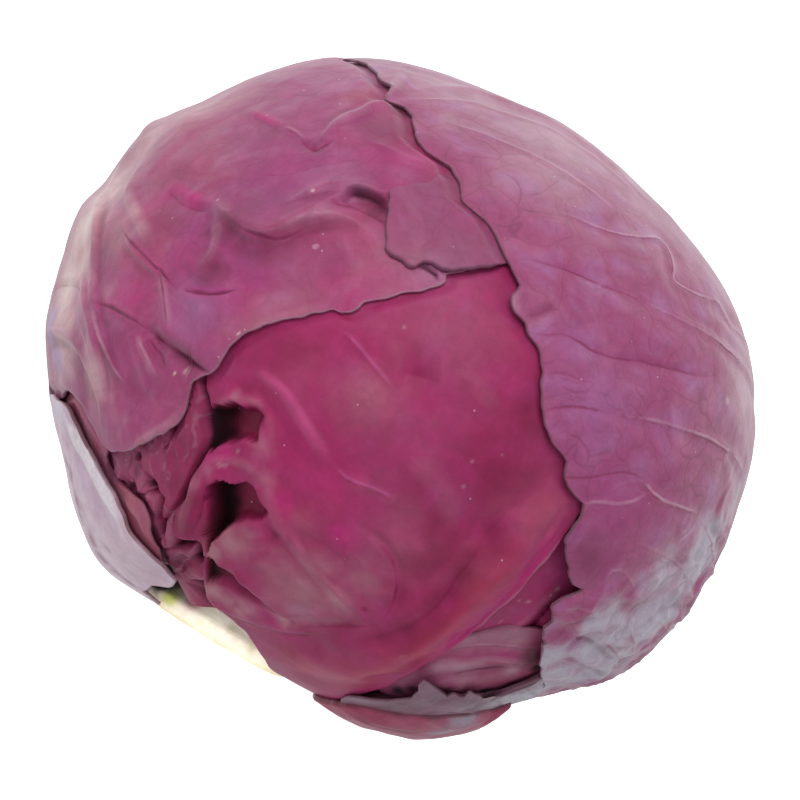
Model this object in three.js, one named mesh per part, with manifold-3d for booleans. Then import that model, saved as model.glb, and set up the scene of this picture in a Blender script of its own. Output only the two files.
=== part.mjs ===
// A red cabbage head standing on its cut stem, in millimetres, +Z up along the stem to the crown.
// Every wrapper leaf is a thin closed shell that follows one common head surface at its own depth.
// The leaves overlap like the real ones: each ends in its own margin and dips where another covers it.
import * as THREE from "three";
import { mergeVertices } from "three/addons/utils/BufferGeometryUtils.js";
import Module from "manifold-3d";

const wasm = await Module();
wasm.setup();

// ---- driving dimensions -------------------------------------------------------------------
const CENTRE = new THREE.Vector3(5, 0, 63.5); // middle of the head, above and beside the stem
const HALF_DEPTH = 75; // half of the head from front to back
const STEM_RADIUS_X = 15;
const STEM_RADIUS_Y = 13.5;
const STEM_HEIGHT = 17; // from the cut face up into the head
const STEM_CLEARANCE = 0.3; // between the stem and what grows round it
const LEAF = 1.15; // thickness of a wrapper leaf
const LAP = 0.8; // free gap between a leaf and the next one under it
const COVER = LEAF + LAP; // how far a leaf lies under the one that covers it
const FLOOR = 0.3; // no leaf reaches lower than this

// The front is drawn on a sheet of 800 x 800 squares. The head leans to the right on it.
// The eye stands level with the middle of the head, straight in front of it.
const SQUARE = 0.21;
const LEAN = THREE.MathUtils.degToRad(31);
const EYE = new THREE.Vector3(6.3, -700, 62.6);
const SHEET_MIDDLE = 400;
const LIMB_SHRINK = 0.994; // the section through the middle is this much smaller than the limb seen

// The limb of the head on the sheet, once round.
const LIMB = [
  [757, 400], [745, 335], [722, 285], [690, 240], [640, 188], [597, 150], [555, 121], [515, 102], [470, 85],
  [430, 71], [385, 61], [330, 60], [270, 72], [205, 100], [150, 126], [105, 181], [80, 206], [60, 262],
  [45, 320], [47, 380], [60, 450], [76, 515], [100, 563], [148, 600], [215, 636], [285, 678], [340, 706],
  [385, 722], [415, 728], [460, 722], [510, 704], [565, 690], [620, 672], [660, 638], [700, 590],
  [735, 515], [752, 460],
];

// ---- directions and the head surface ------------------------------------------------------
const cosLean = Math.cos(LEAN);
const sinLean = Math.sin(LEAN);

// A sheet square as a point of the upright plane through the middle of the head.
function sheetPlane(x, y) {
  const right = (x - SHEET_MIDDLE) * SQUARE;
  const up = (SHEET_MIDDLE - y) * SQUARE;
  return new THREE.Vector3(
    EYE.x + right * cosLean - up * sinLean,
    0,
    EYE.z + right * sinLean + up * cosLean,
  );
}

// Where a point of the head is seen on the sheet.
function onSheet(point) {
  const scale = -EYE.y / (point.y - EYE.y);
  const x = (point.x - EYE.x) * scale;
  const z = (point.z - EYE.z) * scale;
  return [
    SHEET_MIDDLE + (x * cosLean + z * sinLean) / SQUARE,
    SHEET_MIDDLE - (z * cosLean - x * sinLean) / SQUARE,
  ];
}

// A direction by longitude (0 in front, 90 to the right, 180 behind) and latitude (90 at the crown).
function globe(longitude, latitude) {
  const lon = THREE.MathUtils.degToRad(longitude);
  const lat = THREE.MathUtils.degToRad(latitude);
  return new THREE.Vector3(
    Math.cos(lat) * Math.sin(lon),
    -Math.cos(lat) * Math.cos(lon),
    Math.sin(lat),
  );
}

// A smooth closed curve through (angle, value) knots, as a function of the angle.
function periodicCurve(knots) {
  const sorted = [...knots].sort((a, b) => a[0] - b[0]);
  const count = sorted.length;
  const at = (i) => {
    const turn = Math.floor(i / count);
    const [angle, value] = sorted[i - turn * count];
    return [angle + turn * 2 * Math.PI, value];
  };
  const slope = (i) => (at(i + 1)[1] - at(i - 1)[1]) / (at(i + 1)[0] - at(i - 1)[0]);
  return (angle) => {
    let a = angle;
    while (a < sorted[0][0]) a += 2 * Math.PI;
    while (a >= sorted[0][0] + 2 * Math.PI) a -= 2 * Math.PI;
    let i = 0;
    while (at(i + 1)[0] <= a) i += 1;
    const [a0, v0] = at(i);
    const [a1, v1] = at(i + 1);
    const span = a1 - a0;
    const t = (a - a0) / span;
    const rise0 = slope(i) * span;
    const rise1 = slope(i + 1) * span;
    return (
      v0 * (2 * t ** 3 - 3 * t ** 2 + 1) +
      rise0 * (t ** 3 - 2 * t ** 2 + t) +
      v1 * (3 * t ** 2 - 2 * t ** 3) +
      rise1 * (t ** 3 - t ** 2)
    );
  };
}

const limbRadius = periodicCurve(
  LIMB.map(([x, y]) => {
    const p = sheetPlane(x, y).sub(CENTRE);
    return [Math.atan2(p.z, p.x), Math.hypot(p.x, p.z) * LIMB_SHRINK];
  }),
);

// How far the outermost surface of the head is from its centre in a direction.
function skin(d) {
  const across = Math.hypot(d.x, d.z);
  const radius = limbRadius(Math.atan2(d.z, d.x));
  return 1 / Math.hypot(across / radius, d.y / HALF_DEPTH);
}

// The point of a surface, given by its level under the skin, in a direction.
function surfacePoint(d, level) {
  let radius = skin(d) + level;
  if (d.z < 0) radius = Math.min(radius, (CENTRE.z - FLOOR) / -d.z);
  return d.clone().multiplyScalar(radius).add(CENTRE);
}

// The direction of the point of a surface that is seen at a sheet square.
// Past the limb it is the direction where the sight line passes closest to the surface.
function sheetDirection(x, y, level) {
  const ray = sheetPlane(x, y).sub(EYE);
  const height = (s) => {
    const p = ray.clone().multiplyScalar(s).add(EYE).sub(CENTRE);
    const reach = p.length();
    const d = p.normalize();
    return [reach - skin(d) - level(d), d];
  };
  const START = 0.87;
  const STEP = 0.005;
  let best = height(START);
  for (let s = START; s <= 1.03; s += STEP) {
    const here = height(s);
    if (here[0] < best[0]) best = here;
    if (here[0] > 0) continue;
    let outside = s - STEP;
    let inside = s;
    for (let i = 0; i < 25; i += 1) {
      const middle = (outside + inside) / 2;
      if (height(middle)[0] > 0) outside = middle;
      else inside = middle;
    }
    return height(inside)[1];
  }
  return best[1];
}

const clamp01 = (t) => Math.min(1, Math.max(0, t));
const smooth = (from, to, t) => {
  const s = clamp01((t - from) / (to - from));
  return s * s * (3 - 2 * s);
};

// ---- leaves -------------------------------------------------------------------------------
// A margin is a list of [x, y] sheet squares and of directions, in order round the leaf.
// Round its pole a leaf has one reach for each turn, so it is a fan of spokes and rings.
// Its bed is the level that it lies at. Its two faces follow the bed unless they are given their own.
function makeLeaf({ pole, margin, bed, spokes, rings, evenFaces = false }) {
  const axis = pole.isVector3 ? pole.clone() : sheetDirection(...pole, bed);
  const fan = fanRound(axis);
  const knots = [];
  for (const mark of margin) {
    const [turn, angle] = fan.polar(mark.isVector3 ? mark : sheetDirection(...mark, bed));
    const last = knots.at(-1) ?? [turn];
    knots.push([turn + 2 * Math.PI * Math.round((last[0] - turn) / (2 * Math.PI)), angle]);
  }
  const reach = periodicLine(forwardOnly(knots));
  return { ...fan, reach, bed, outer: bed, inner: (d) => bed(d) - LEAF, spokes, rings, evenFaces };
}

// Turn and angle of directions round an axis, and back.
function fanRound(axis) {
  const side = new THREE.Vector3(0, 0, 1).cross(axis).normalize();
  const up = axis.clone().cross(side);
  const polar = (d) => [
    Math.atan2(d.dot(up), d.dot(side)),
    Math.acos(THREE.MathUtils.clamp(d.dot(axis), -1, 1)),
  ];
  const direction = (turn, angle) =>
    axis.clone().multiplyScalar(Math.cos(angle))
      .addScaledVector(side, Math.cos(turn) * Math.sin(angle))
      .addScaledVector(up, Math.sin(turn) * Math.sin(angle));
  return { axis, polar, direction };
}

// The knots that lead on round the leaf. One that would turn back is left out.
function forwardOnly(knots) {
  const LEAST_TURN = 0.006;
  const way = Math.sign(knots.at(-1)[0] - knots[0][0]);
  const kept = [];
  for (const [turn, angle] of knots) {
    const back = kept.length > 0 && (turn - kept.at(-1)[0]) * way < LEAST_TURN;
    const round = kept.length > 0 && (turn - kept[0][0]) * way > 2 * Math.PI - LEAST_TURN;
    if (!back && !round) kept.push([turn, angle]);
  }
  return kept.map(([turn, angle]) => [normalTurn(turn), angle]);
}

const normalTurn = (turn) => turn - 2 * Math.PI * Math.floor(turn / (2 * Math.PI) + 0.5);

// A closed polyline of (angle, value) knots as a function of the angle.
function periodicLine(knots) {
  const sorted = [...knots].sort((a, b) => a[0] - b[0]);
  const first = sorted[0];
  const closed = [...sorted, [first[0] + 2 * Math.PI, first[1]]];
  const read = (turn) => {
    let a = turn;
    while (a < first[0]) a += 2 * Math.PI;
    while (a >= first[0] + 2 * Math.PI) a -= 2 * Math.PI;
    let i = 0;
    while (i < closed.length - 2 && closed[i + 1][0] <= a) i += 1;
    const t = (a - closed[i][0]) / (closed[i + 1][0] - closed[i][0]);
    return closed[i][1] * (1 - t) + closed[i + 1][1] * t;
  };
  read.knots = sorted;
  return read;
}

// How far inside the margin of a leaf a direction is, in radians. It is negative outside.
function insideOf(leaf, d) {
  const [turn, angle] = leaf.polar(d);
  return leaf.reach(turn) - angle;
}

const DEGREE = Math.PI / 180;
// 1 under a covering leaf and 0 well away from it.
function underneath(leaf, d, from = 20, to = 2.5) {
  return smooth(-from * DEGREE, -to * DEGREE, insideOf(leaf, d));
}

// The turns of the spokes: one at each knot of the margin, and the widest gaps split.
function spokeTurns(leaf) {
  const turns = leaf.reach.knots.map(([turn]) => turn);
  const width = (i) => {
    const a = turns[i];
    const b = i + 1 < turns.length ? turns[i + 1] : turns[0] + 2 * Math.PI;
    return (b - a) * Math.sin(Math.min(leaf.reach((a + b) / 2), Math.PI / 2));
  };
  while (turns.length > leaf.spokes) {
    let narrow = 0;
    for (let i = 1; i < turns.length; i += 1) if (width(i) < width(narrow)) narrow = i;
    turns.splice(narrow, 1);
  }
  while (turns.length < leaf.spokes) {
    let wide = 0;
    for (let i = 1; i < turns.length; i += 1) if (width(i) > width(wide)) wide = i;
    const next = wide + 1 < turns.length ? turns[wide + 1] : turns[0] + 2 * Math.PI;
    turns.splice(wide + 1, 0, (turns[wide] + next) / 2);
  }
  return turns;
}

// The reach of each spoke, and the same evened out over its neighbours for the inner rings.
function spokeReaches(leaf, turns) {
  const sharp = turns.map((turn) => leaf.reach(turn));
  const SPREAD = 4;
  const even = sharp.map((_, i) => {
    let sum = 0;
    for (let k = -SPREAD; k <= SPREAD; k += 1) sum += sharp[(i + k + sharp.length) % sharp.length];
    return sum / (2 * SPREAD + 1);
  });
  return { sharp, even };
}

// Triangles between a ring of `outer` points and one of as many or of half as many points.
function ringTriangles(inner, outer) {
  const triangles = [];
  const n = outer.length;
  if (inner.length === 1) {
    outer.forEach((v, i) => triangles.push([inner[0], v, outer[(i + 1) % n]]));
  } else if (inner.length === n) {
    outer.forEach((v, i) => {
      const j = (i + 1) % n;
      triangles.push([inner[i], v, outer[j]], [inner[i], outer[j], inner[j]]);
    });
  } else {
    inner.forEach((v, i) => {
      const next = inner[(i + 1) % inner.length];
      const a = outer[2 * i];
      const b = outer[2 * i + 1];
      const c = outer[(2 * i + 2) % n];
      triangles.push([v, a, b], [v, b, next], [next, b, c]);
    });
  }
  return triangles;
}

// One face of a leaf as rings of vertices from the pole out. The inner rings have fewer spokes.
function leafFace(leaf, turns, reaches, level, [fullFrom, halfFrom], vertices) {
  const rings = [[vertices.push(surfacePoint(leaf.axis, level(leaf.axis))) - 1]];
  for (let i = 1; i <= leaf.rings; i += 1) {
    const t = i / leaf.rings;
    const skip = t > fullFrom ? 1 : t > halfFrom ? 2 : 4;
    const sharpness = t ** 4;
    const ring = [];
    for (let k = 0; k < turns.length; k += skip) {
      const angle = t * (reaches.even[k] * (1 - sharpness) + reaches.sharp[k] * sharpness);
      const d = leaf.direction(turns[k], angle);
      ring.push(vertices.push(surfacePoint(d, level(d))) - 1);
    }
    rings.push(ring);
  }
  return rings;
}

const OUTER_FACE_RINGS = [0.6, 0.28]; // all spokes from the first on, half of them from the second on
const INNER_FACE_RINGS = [0.96, 0.45]; // the hidden face is coarser

function leafSolid(leaf) {
  const vertices = [];
  const turns = spokeTurns(leaf);
  const reaches = spokeReaches(leaf, turns);
  const innerRings = leaf.evenFaces ? OUTER_FACE_RINGS : INNER_FACE_RINGS;
  const outer = leafFace(leaf, turns, reaches, leaf.outer, OUTER_FACE_RINGS, vertices);
  const inner = leafFace(leaf, turns, reaches, leaf.inner, innerRings, vertices);
  const triangles = [];
  for (let i = 1; i < outer.length; i += 1) {
    triangles.push(...ringTriangles(outer[i - 1], outer[i]));
    triangles.push(...ringTriangles(inner[i - 1], inner[i]).map(([a, b, c]) => [a, c, b]));
  }
  triangles.push(...ringTriangles(outer.at(-1), inner.at(-1)));
  return solidFrom(vertices, triangles);
}

// ---- solids -------------------------------------------------------------------------------
function solidFrom(vertices, triangles) {
  const geometry = new THREE.BufferGeometry().setFromPoints(vertices);
  geometry.setIndex(triangles.flat());
  return manifoldOf(geometry);
}

function manifoldOf(geometry) {
  const bare = geometry.clone();
  bare.deleteAttribute("normal");
  bare.deleteAttribute("uv");
  const merged = mergeVertices(bare, 1e-4);
  return new wasm.Manifold(
    new wasm.Mesh({
      numProp: 3,
      vertProperties: merged.getAttribute("position").array,
      triVerts: new Uint32Array(merged.index.array),
    }),
  );
}

function meshOf(name, solid, look) {
  const { vertProperties, triVerts } = solid.getMesh();
  const geometry = new THREE.BufferGeometry();
  geometry.setAttribute("position", new THREE.BufferAttribute(new Float32Array(vertProperties), 3));
  geometry.setIndex(new THREE.BufferAttribute(new Uint32Array(triVerts), 1));
  geometry.computeVertexNormals();
  const mesh = new THREE.Mesh(geometry, look);
  mesh.name = name;
  return mesh;
}

// The stem: a lathe with a slightly oval section, wider where it enters the head.
function stemSolid(grow) {
  const profile = [
    [0, -grow], [STEM_RADIUS_Y + grow, -grow], [STEM_RADIUS_Y + 0.7 + grow, 3.5],
    [STEM_RADIUS_Y - 1.5 + grow, 9], [STEM_RADIUS_Y - 4 + grow, STEM_HEIGHT + grow], [0, STEM_HEIGHT + grow],
  ].map(([r, z]) => new THREE.Vector2(r, z));
  const STEM_SIDES = 28;
  const geometry = new THREE.LatheGeometry(profile, STEM_SIDES);
  geometry.rotateX(Math.PI / 2);
  geometry.scale((STEM_RADIUS_X + grow) / (STEM_RADIUS_Y + grow), 1, 1);
  return manifoldOf(geometry);
}

// ---- relief -------------------------------------------------------------------------------
// How far a sheet point is from a polyline, and whether it is inside it when it is closed.
function lineDistance([x, y], line, closed = false) {
  let nearest = Infinity;
  let inside = false;
  const last = closed ? line.length : line.length - 1;
  for (let i = 0; i < last; i += 1) {
    const [x0, y0] = line[i];
    const [x1, y1] = line[(i + 1) % line.length];
    const dx = x1 - x0;
    const dy = y1 - y0;
    const t = clamp01(((x - x0) * dx + (y - y0) * dy) / (dx * dx + dy * dy));
    nearest = Math.min(nearest, Math.hypot(x - x0 - t * dx, y - y0 - t * dy));
    if (y0 > y !== y1 > y && x < x0 + ((y - y0) / dy) * dx) inside = !inside;
  }
  return closed && inside ? -nearest : nearest;
}

// A soft-edged hollow or swelling over an outline on the sheet: 1 inside and 0 outside.
const patch = (at, outline, soft) => smooth(soft / 2, -soft / 2, lineDistance(at, outline, true));
// A rounded ridge or groove along a line on the sheet: 1 on the line and 0 at its width.
const ridge = (at, line, width) => {
  const s = clamp01(lineDistance(at, line) / width);
  return (1 - s * s) ** 2;
};
const seenAt = (d, level) => onSheet(surfacePoint(d, level));
const facesFront = (d) => smooth(0.05, -0.1, d.y);

// Right wrapper leaf: outermost, round the right side and over the crown. Its left margin is torn.
const rightLeaf = makeLeaf({
  pole: globe(95, 16),
  bed: () => 0,
  spokes: 96,
  rings: 13,
  margin: [
    [345, 58], [362, 62], [375, 70], [382, 81], [392, 90], [385, 100], [405, 106], [413, 114], [417, 140],
    [427, 150], [450, 166], [458, 180], [463, 200], [471, 207], [485, 210], [488, 222], [508, 262],
    [520, 284], [513, 299], [514, 312], [526, 321], [529, 334], [540, 352], [543, 370], [540, 402],
    [545, 421], [553, 443], [567, 460], [565, 478], [575, 496], [584, 504], [580, 519], [566, 542],
    [569, 570], [575, 586], [588, 592], [566, 599], [551, 610], [556, 624], [545, 631], [547, 650],
    [541, 662], [541, 676], [526, 668], [520, 678], [495, 682], [490, 700], [476, 703], [468, 694],
    [446, 700], [436, 692], [424, 682], [416, 696], [388, 702], [350, 700],
    globe(88, -74), globe(94, -81), globe(115, -81), globe(135, -81), globe(152, -77),
    globe(165, -63), globe(172, -54), globe(183, -45), globe(187, -36), globe(196, -27), globe(198, -17),
    globe(205, -8), globe(202, 3), globe(207, 13), globe(204, 23), globe(209, 33), globe(212, 42),
    globe(221, 49), globe(231, 53), globe(243, 59), globe(257, 56),
  ],
});

// Left outer leaf: low on the left side, pale, with a brown jagged edge under the head.
const leftOuterLeaf = makeLeaf({
  pole: globe(-96, -38),
  bed: () => 0,
  spokes: 56,
  rings: 8,
  margin: [
    [48, 398], [57, 404], [64, 415], [72, 433], [80, 451], [88, 468], [97, 485], [108, 503], [120, 521],
    [132, 540], [143, 551], [155, 560], [166, 570], [175, 581], [170, 587], [150, 585], [141, 591],
    [150, 600], [158, 611], globe(-62, -80), globe(-90, -81), globe(-118, -79), globe(-134, -66),
    globe(-143, -56), globe(-145, -46), globe(-150, -38), globe(-147, -28), globe(-140, -22),
    globe(-131, -15), globe(-122, -18), globe(-112, -15), globe(-104, -23), globe(-97, -29),
  ],
});

// Back leaf: closes the back between the two outer ones and lies over the top leaf.
const backLeaf = makeLeaf({
  pole: globe(178, -8),
  bed: (d) => -1.1 * COVER * Math.max(underneath(rightLeaf, d, 26, 9), underneath(leftOuterLeaf, d, 24, 8)),
  spokes: 56,
  rings: 10,
  margin: [
    globe(150, -73), globe(156, -81), globe(196, -81), globe(234, -81), globe(238, -70), globe(236, -58),
    globe(240, -46), globe(238, -36), globe(243, -26), globe(241, -16), globe(245, -8), globe(242, 2),
    globe(244, 11), globe(239, 20), globe(236, 29), globe(230, 37), globe(223, 46), globe(210, 53),
    globe(190, 60), globe(165, 56), globe(140, 42), globe(128, 18), globe(126, -10), globe(130, -38),
    globe(140, -60),
  ],
});

// Top leaf: over the upper left, folded on itself in front. Its lower flap lies under the fold.
const FOLD_UNDER = [
  [388, 190], [391, 203], [390, 222], [385, 245], [395, 258], [406, 264], [420, 268], [445, 268], [470, 272],
  [450, 300], [360, 330], [300, 340], [230, 372], [180, 392], [186, 330], [198, 285], [206, 240], [222, 214],
  [243, 226], [264, 238], [300, 222], [330, 203], [350, 192],
];
const FOLD_DROP = 1.3;
const foldDrop = (d, level) => {
  const at = seenAt(d, level);
  return FOLD_DROP * facesFront(d) * patch(at, FOLD_UNDER, 10) * smooth(185, 285, at[0]);
};
const TOP_PLEATS = [
  { line: [[122, 225], [155, 265], [180, 285], [210, 295], [235, 290]], width: 14, height: -0.5 },
  { line: [[98, 303], [140, 325], [150, 340], [190, 365]], width: 14, height: -0.6 },
  { line: [[168, 184], [190, 197], [215, 204]], width: 12, height: -0.6 },
  { line: [[140, 135], [97, 200], [90, 300], [102, 380]], width: 16, height: 0.5 },
];
const topLeaf = makeLeaf({
  pole: [235, 190],
  bed: (d) =>
    -Math.max(
      COVER * Math.max(underneath(rightLeaf, d, 9.5, 4), underneath(leftOuterLeaf, d, 14, 3)),
      2.45 * COVER * underneath(backLeaf, d, 26, 9),
    ),
  spokes: 88,
  rings: 11,
  margin: [
    [46, 394], [62, 394], [73, 394], [84, 408], [91, 426], [98, 442], [101, 450], [110, 453], [128, 449],
    [146, 440], [163, 432], [177, 421], [184, 409], [188, 393], [190, 381], [199, 375], [208, 372],
    [215, 367], [221, 356], [228, 346], [240, 336], [262, 324], [281, 317], [305, 311], [331, 307],
    [339, 311], [350, 311], [357, 307], [363, 301], [400, 291], [438, 283], [444, 279], [444, 270],
    [475, 266], [500, 262], [525, 252], [545, 232], [545, 200], [520, 160], [485, 125], [455, 95],
    globe(-30, 72), globe(-100, 76), globe(-150, 62), globe(-139, 40), globe(-133, 20), globe(-129, 0),
    globe(-127, -20), globe(-120, -34), globe(-106, -40), globe(-94, -38),
  ],
});
const topPleat = (d) => {
  const at = seenAt(d, topLeaf.bed(d));
  return facesFront(d) * TOP_PLEATS.reduce((sum, p) => sum + p.height * ridge(at, p.line, p.width), 0);
};
const topFolded = (d) => topLeaf.bed(d) - foldDrop(d, topLeaf.bed(d));
topLeaf.outer = (d) => topFolded(d) + topPleat(d);
topLeaf.inner = (d) => topFolded(d) - LEAF - 0.3;

// Left inner leaf: a narrow strip that shows between the left outer leaf and the top leaf.
const leftInnerLeaf = makeLeaf({
  pole: [91, 466],
  bed: (d) =>
    -COVER * Math.max(underneath(leftOuterLeaf, d, 9, 2), 2.3 * underneath(topLeaf, d, 12, 2), 0.8),
  spokes: 36,
  rings: 5,
  margin: [
    [78, 372], [92, 385], [103, 405], [107, 425], [106, 445], [103, 457], [105, 468], [110, 478],
    [120, 487], [131, 494], [140, 502], [146, 514], [150, 528], [153, 540], [158, 550], [160, 561],
    [148, 565], [128, 553], [110, 534], [93, 505], [78, 475], [66, 445], [60, 420], [62, 395], [68, 380],
  ],
});

// Front leaf: the broad smooth leaf in the middle, with a thick midrib that runs to the stem.
// Its left edge is crumpled into two deep pockets and a slit.
const POCKETS = [
  { outline: [[213, 410], [232, 405], [260, 410], [257, 438], [240, 442], [216, 440]], depth: 4.2, soft: 6 },
  {
    outline: [[209, 485], [240, 483], [250, 488], [263, 514], [248, 521], [225, 527], [208, 541]],
    depth: 5.4, soft: 7,
  },
  { outline: [[203, 557], [222, 566], [244, 584], [262, 598], [232, 583], [207, 580]], depth: 3.2, soft: 5 },
];
const POCKET_BED = [[206, 398], [262, 396], [280, 450], [285, 520], [262, 560], [285, 612], [200, 580], [198, 480]];
const POCKET_BED_DROP = 6.2;
const MIDRIB = [[318, 672], [380, 650], [440, 618], [500, 560], [545, 505], [572, 472]];
const FRONT_SWELLS = [
  { line: MIDRIB, width: 44, height: 1.3 },
  { line: [[205, 462], [235, 462], [262, 470]], width: 14, height: 0.8 },
  { line: [[215, 545], [262, 560], [330, 610]], width: 36, height: 1.1 },
  { line: [[212, 590], [245, 606], [280, 622]], width: 16, height: 1 },
  { line: [[255, 372], [300, 425], [342, 472]], width: 14, height: 0.6 },
];
const FRONT_UNDER_TOP = 2 * COVER + FOLD_DROP;
const petioleFlush = (d) => smooth(-0.72, -0.93, d.z);
const frontBed = (d) => {
  const covered = Math.max(
    (FRONT_UNDER_TOP - 2.6) * underneath(topLeaf, d, 8, 1.5),
    0.4 * underneath(rightLeaf, d, 12, 2),
  );
  const bare = (2.6 + covered) * (1 - petioleFlush(d)) + 0.25 * petioleFlush(d);
  return -Math.max(bare, COVER * underneath(rightLeaf, d, 9, 4));
};
const frontLeaf = makeLeaf({
  pole: [380, 430],
  bed: frontBed,
  spokes: 88,
  rings: 12,
  evenFaces: true,
  margin: [
    [203, 352], [206, 372], [207, 395], [209, 412], [210, 430], [206, 447], [199, 462], [192, 476],
    [186, 490], [182, 503], [173, 515], [170, 527], [173, 538], [185, 541], [197, 541], [202, 549],
    [203, 560], [204, 586], [207, 597], [223, 607], [242, 616], [258, 626], [270, 641], [283, 659],
    globe(2, -80), globe(30, -81), globe(62, -80), globe(80, -74), [340, 698], [365, 695], [385, 690],
    [400, 682], [420, 672], [440, 660], [456, 648], [470, 637], [485, 625], [500, 612], [513, 600],
    [526, 587], [540, 570], [552, 553], [562, 537], [578, 516], [602, 490], [612, 440], [605, 380],
    [588, 320], [565, 270], [538, 232], [500, 200], [455, 180], [400, 172], [350, 186], [305, 215],
    [270, 245], [240, 275], [218, 305], [206, 330],
  ],
});
frontLeaf.inner = (d) => {
  const at = seenAt(d, frontBed(d));
  const margin = clamp01(insideOf(frontLeaf, d) / (4 * DEGREE));
  const bed = POCKET_BED_DROP * patch(at, POCKET_BED, 18) * facesFront(d) * margin;
  return frontBed(d) - LEAF - bed - 2.4 * petioleFlush(d) * clamp01(insideOf(frontLeaf, d) / (5 * DEGREE));
};
frontLeaf.outer = (d) => {
  const bed = frontBed(d);
  const at = seenAt(d, bed);
  let height = 0;
  for (const s of FRONT_SWELLS) height += s.height * ridge(at, s.line, s.width);
  for (const p of POCKETS) height -= p.depth * patch(at, p.outline, p.soft);
  const covered = Math.max(underneath(topLeaf, d, 6, 1.5), underneath(rightLeaf, d, 6, 1.5), petioleFlush(d));
  const tooDeep = frontLeaf.inner(d) + 0.75 - bed;
  return bed + Math.max(height * facesFront(d) * (1 - covered), tooDeep);
};

// Lower inner leaf: shows in the gap between the front leaf's midrib and the torn right leaf.
const LOWER_INNER_BED = -5.8;
const lowerInnerLeaf = makeLeaf({
  pole: [515, 662],
  bed: () => LOWER_INNER_BED,
  spokes: 32,
  rings: 5,
  margin: [
    [375, 690], [405, 672], [430, 650], [452, 640], [475, 634], [500, 628], [525, 628], [548, 632],
    [575, 640], [600, 660], [610, 680], globe(62, -62), globe(45, -66), [440, 705], [400, 702],
  ],
});

// Bottom leaf: the stump of the lowest wrapper leaf, left on the right of the stem.
const STUMP_BED = 0.45;
const STUMP_THICKNESS = 2.2;
const bottomLeaf = makeLeaf({
  pole: globe(88, -61),
  bed: () => STUMP_BED + 0.4,
  spokes: 28,
  rings: 3,
  margin: [
    [330, 703], [352, 707], [380, 713], [410, 718], [440, 719], [470, 717], [495, 712], [512, 706],
    globe(94, -47), globe(106, -51), globe(112, -60), globe(106, -68), globe(92, -72),
  ],
});
bottomLeaf.outer = (d) => STUMP_BED + STUMP_THICKNESS * smooth(-3 * DEGREE, 5 * DEGREE, insideOf(bottomLeaf, d));
bottomLeaf.inner = () => STUMP_BED;

// ---- inner head ---------------------------------------------------------------------------
// Dense inner leaves in one body. Where the wrappers part, their ruffled edges stand out of it.
const RUFFLES = [
  { line: [[199, 384], [196, 410], [190, 440], [182, 470], [176, 496], [170, 514]], width: 17, top: -3.1 },
  { line: [[117, 463], [123, 474], [133, 483]], width: 12, top: -4.6 },
  { line: [[140, 449], [155, 447], [172, 446]], width: 12, top: -3.9 },
  { line: [[146, 462], [151, 474], [158, 492], [163, 507]], width: 7, top: -4.2 },
  { line: [[156, 506], [156, 522], [163, 536], [175, 545], [190, 546]], width: 9, top: -3.7 },
  { line: [[162, 552], [176, 562], [180, 556]], width: 11, top: -3.9 },
  { line: [[188, 567], [205, 563]], width: 8, top: -4.6 },
  { line: [[190, 596], [204, 604]], width: 10, top: -3.2 },
];
const RUFFLE_FLOOR = -8.2;
const RUFFLE_BLUNTNESS = 0.6;
const INNER_LEVEL = -7.8;
const RUFFLE_FIELD = [
  [104, 450], [150, 442], [182, 425], [192, 380], [206, 378], [210, 430], [184, 500], [176, 520], [196, 548],
  [212, 566], [212, 600], [235, 622], [180, 600], [160, 556], [150, 505], [112, 484],
];
const COVERING = [
  [rightLeaf, 1], [leftOuterLeaf, 1], [backLeaf, 1], [topLeaf, 1], [leftInnerLeaf, 1.7],
  [frontLeaf, 1.5], [lowerInnerLeaf, 0.8],
];
const COVER_EDGE = 1.6 * DEGREE;
function innerLevel(d) {
  const at = seenAt(d, -5);
  let level = INNER_LEVEL;
  if (d.y < 0) {
    level += (RUFFLE_FLOOR - INNER_LEVEL) * patch(at, RUFFLE_FIELD, 20);
    for (const r of RUFFLES) {
      const rise = (r.top - RUFFLE_FLOOR) * ridge(at, r.line, r.width) ** RUFFLE_BLUNTNESS;
      level = Math.max(level, RUFFLE_FLOOR + rise);
    }
  }
  for (const [leaf, gap] of COVERING) {
    if (insideOf(leaf, d) > -COVER_EDGE) level = Math.min(level, leaf.inner(d) - gap);
  }
  return level;
}

// The body is a fan round the middle of the ruffles, fine there and coarse at the back.
function innerHeadSolid() {
  const fan = fanRound(sheetDirection(165, 490, () => -5));
  const SPOKES = 64;
  const FINE_RINGS = 14;
  const FINE_REACH = 22 * DEGREE;
  const COARSE_RINGS = 11;
  const vertices = [surfacePoint(fan.axis, innerLevel(fan.axis))];
  const rings = [[0]];
  for (let i = 1; i < FINE_RINGS + COARSE_RINGS; i += 1) {
    const fine = Math.min(i, FINE_RINGS) / FINE_RINGS;
    const coarse = Math.max(0, i - FINE_RINGS) / COARSE_RINGS;
    const angle = fine * FINE_REACH + coarse * (Math.PI - FINE_REACH);
    const skip = i < 3 ? 4 : i < 6 ? 2 : 1;
    const ring = [];
    for (let k = 0; k < SPOKES; k += skip) {
      const d = fan.direction((k / SPOKES) * 2 * Math.PI, angle);
      ring.push(vertices.push(surfacePoint(d, innerLevel(d))) - 1);
    }
    rings.push(ring);
  }
  const far = fan.axis.clone().negate();
  const end = vertices.push(surfacePoint(far, innerLevel(far))) - 1;
  const triangles = [];
  for (let i = 1; i < rings.length; i += 1) triangles.push(...ringTriangles(rings[i - 1], rings[i]));
  triangles.push(...ringTriangles([end], rings.at(-1)).map(([a, b, c]) => [a, c, b]));
  return solidFrom(vertices, triangles);
}

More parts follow.
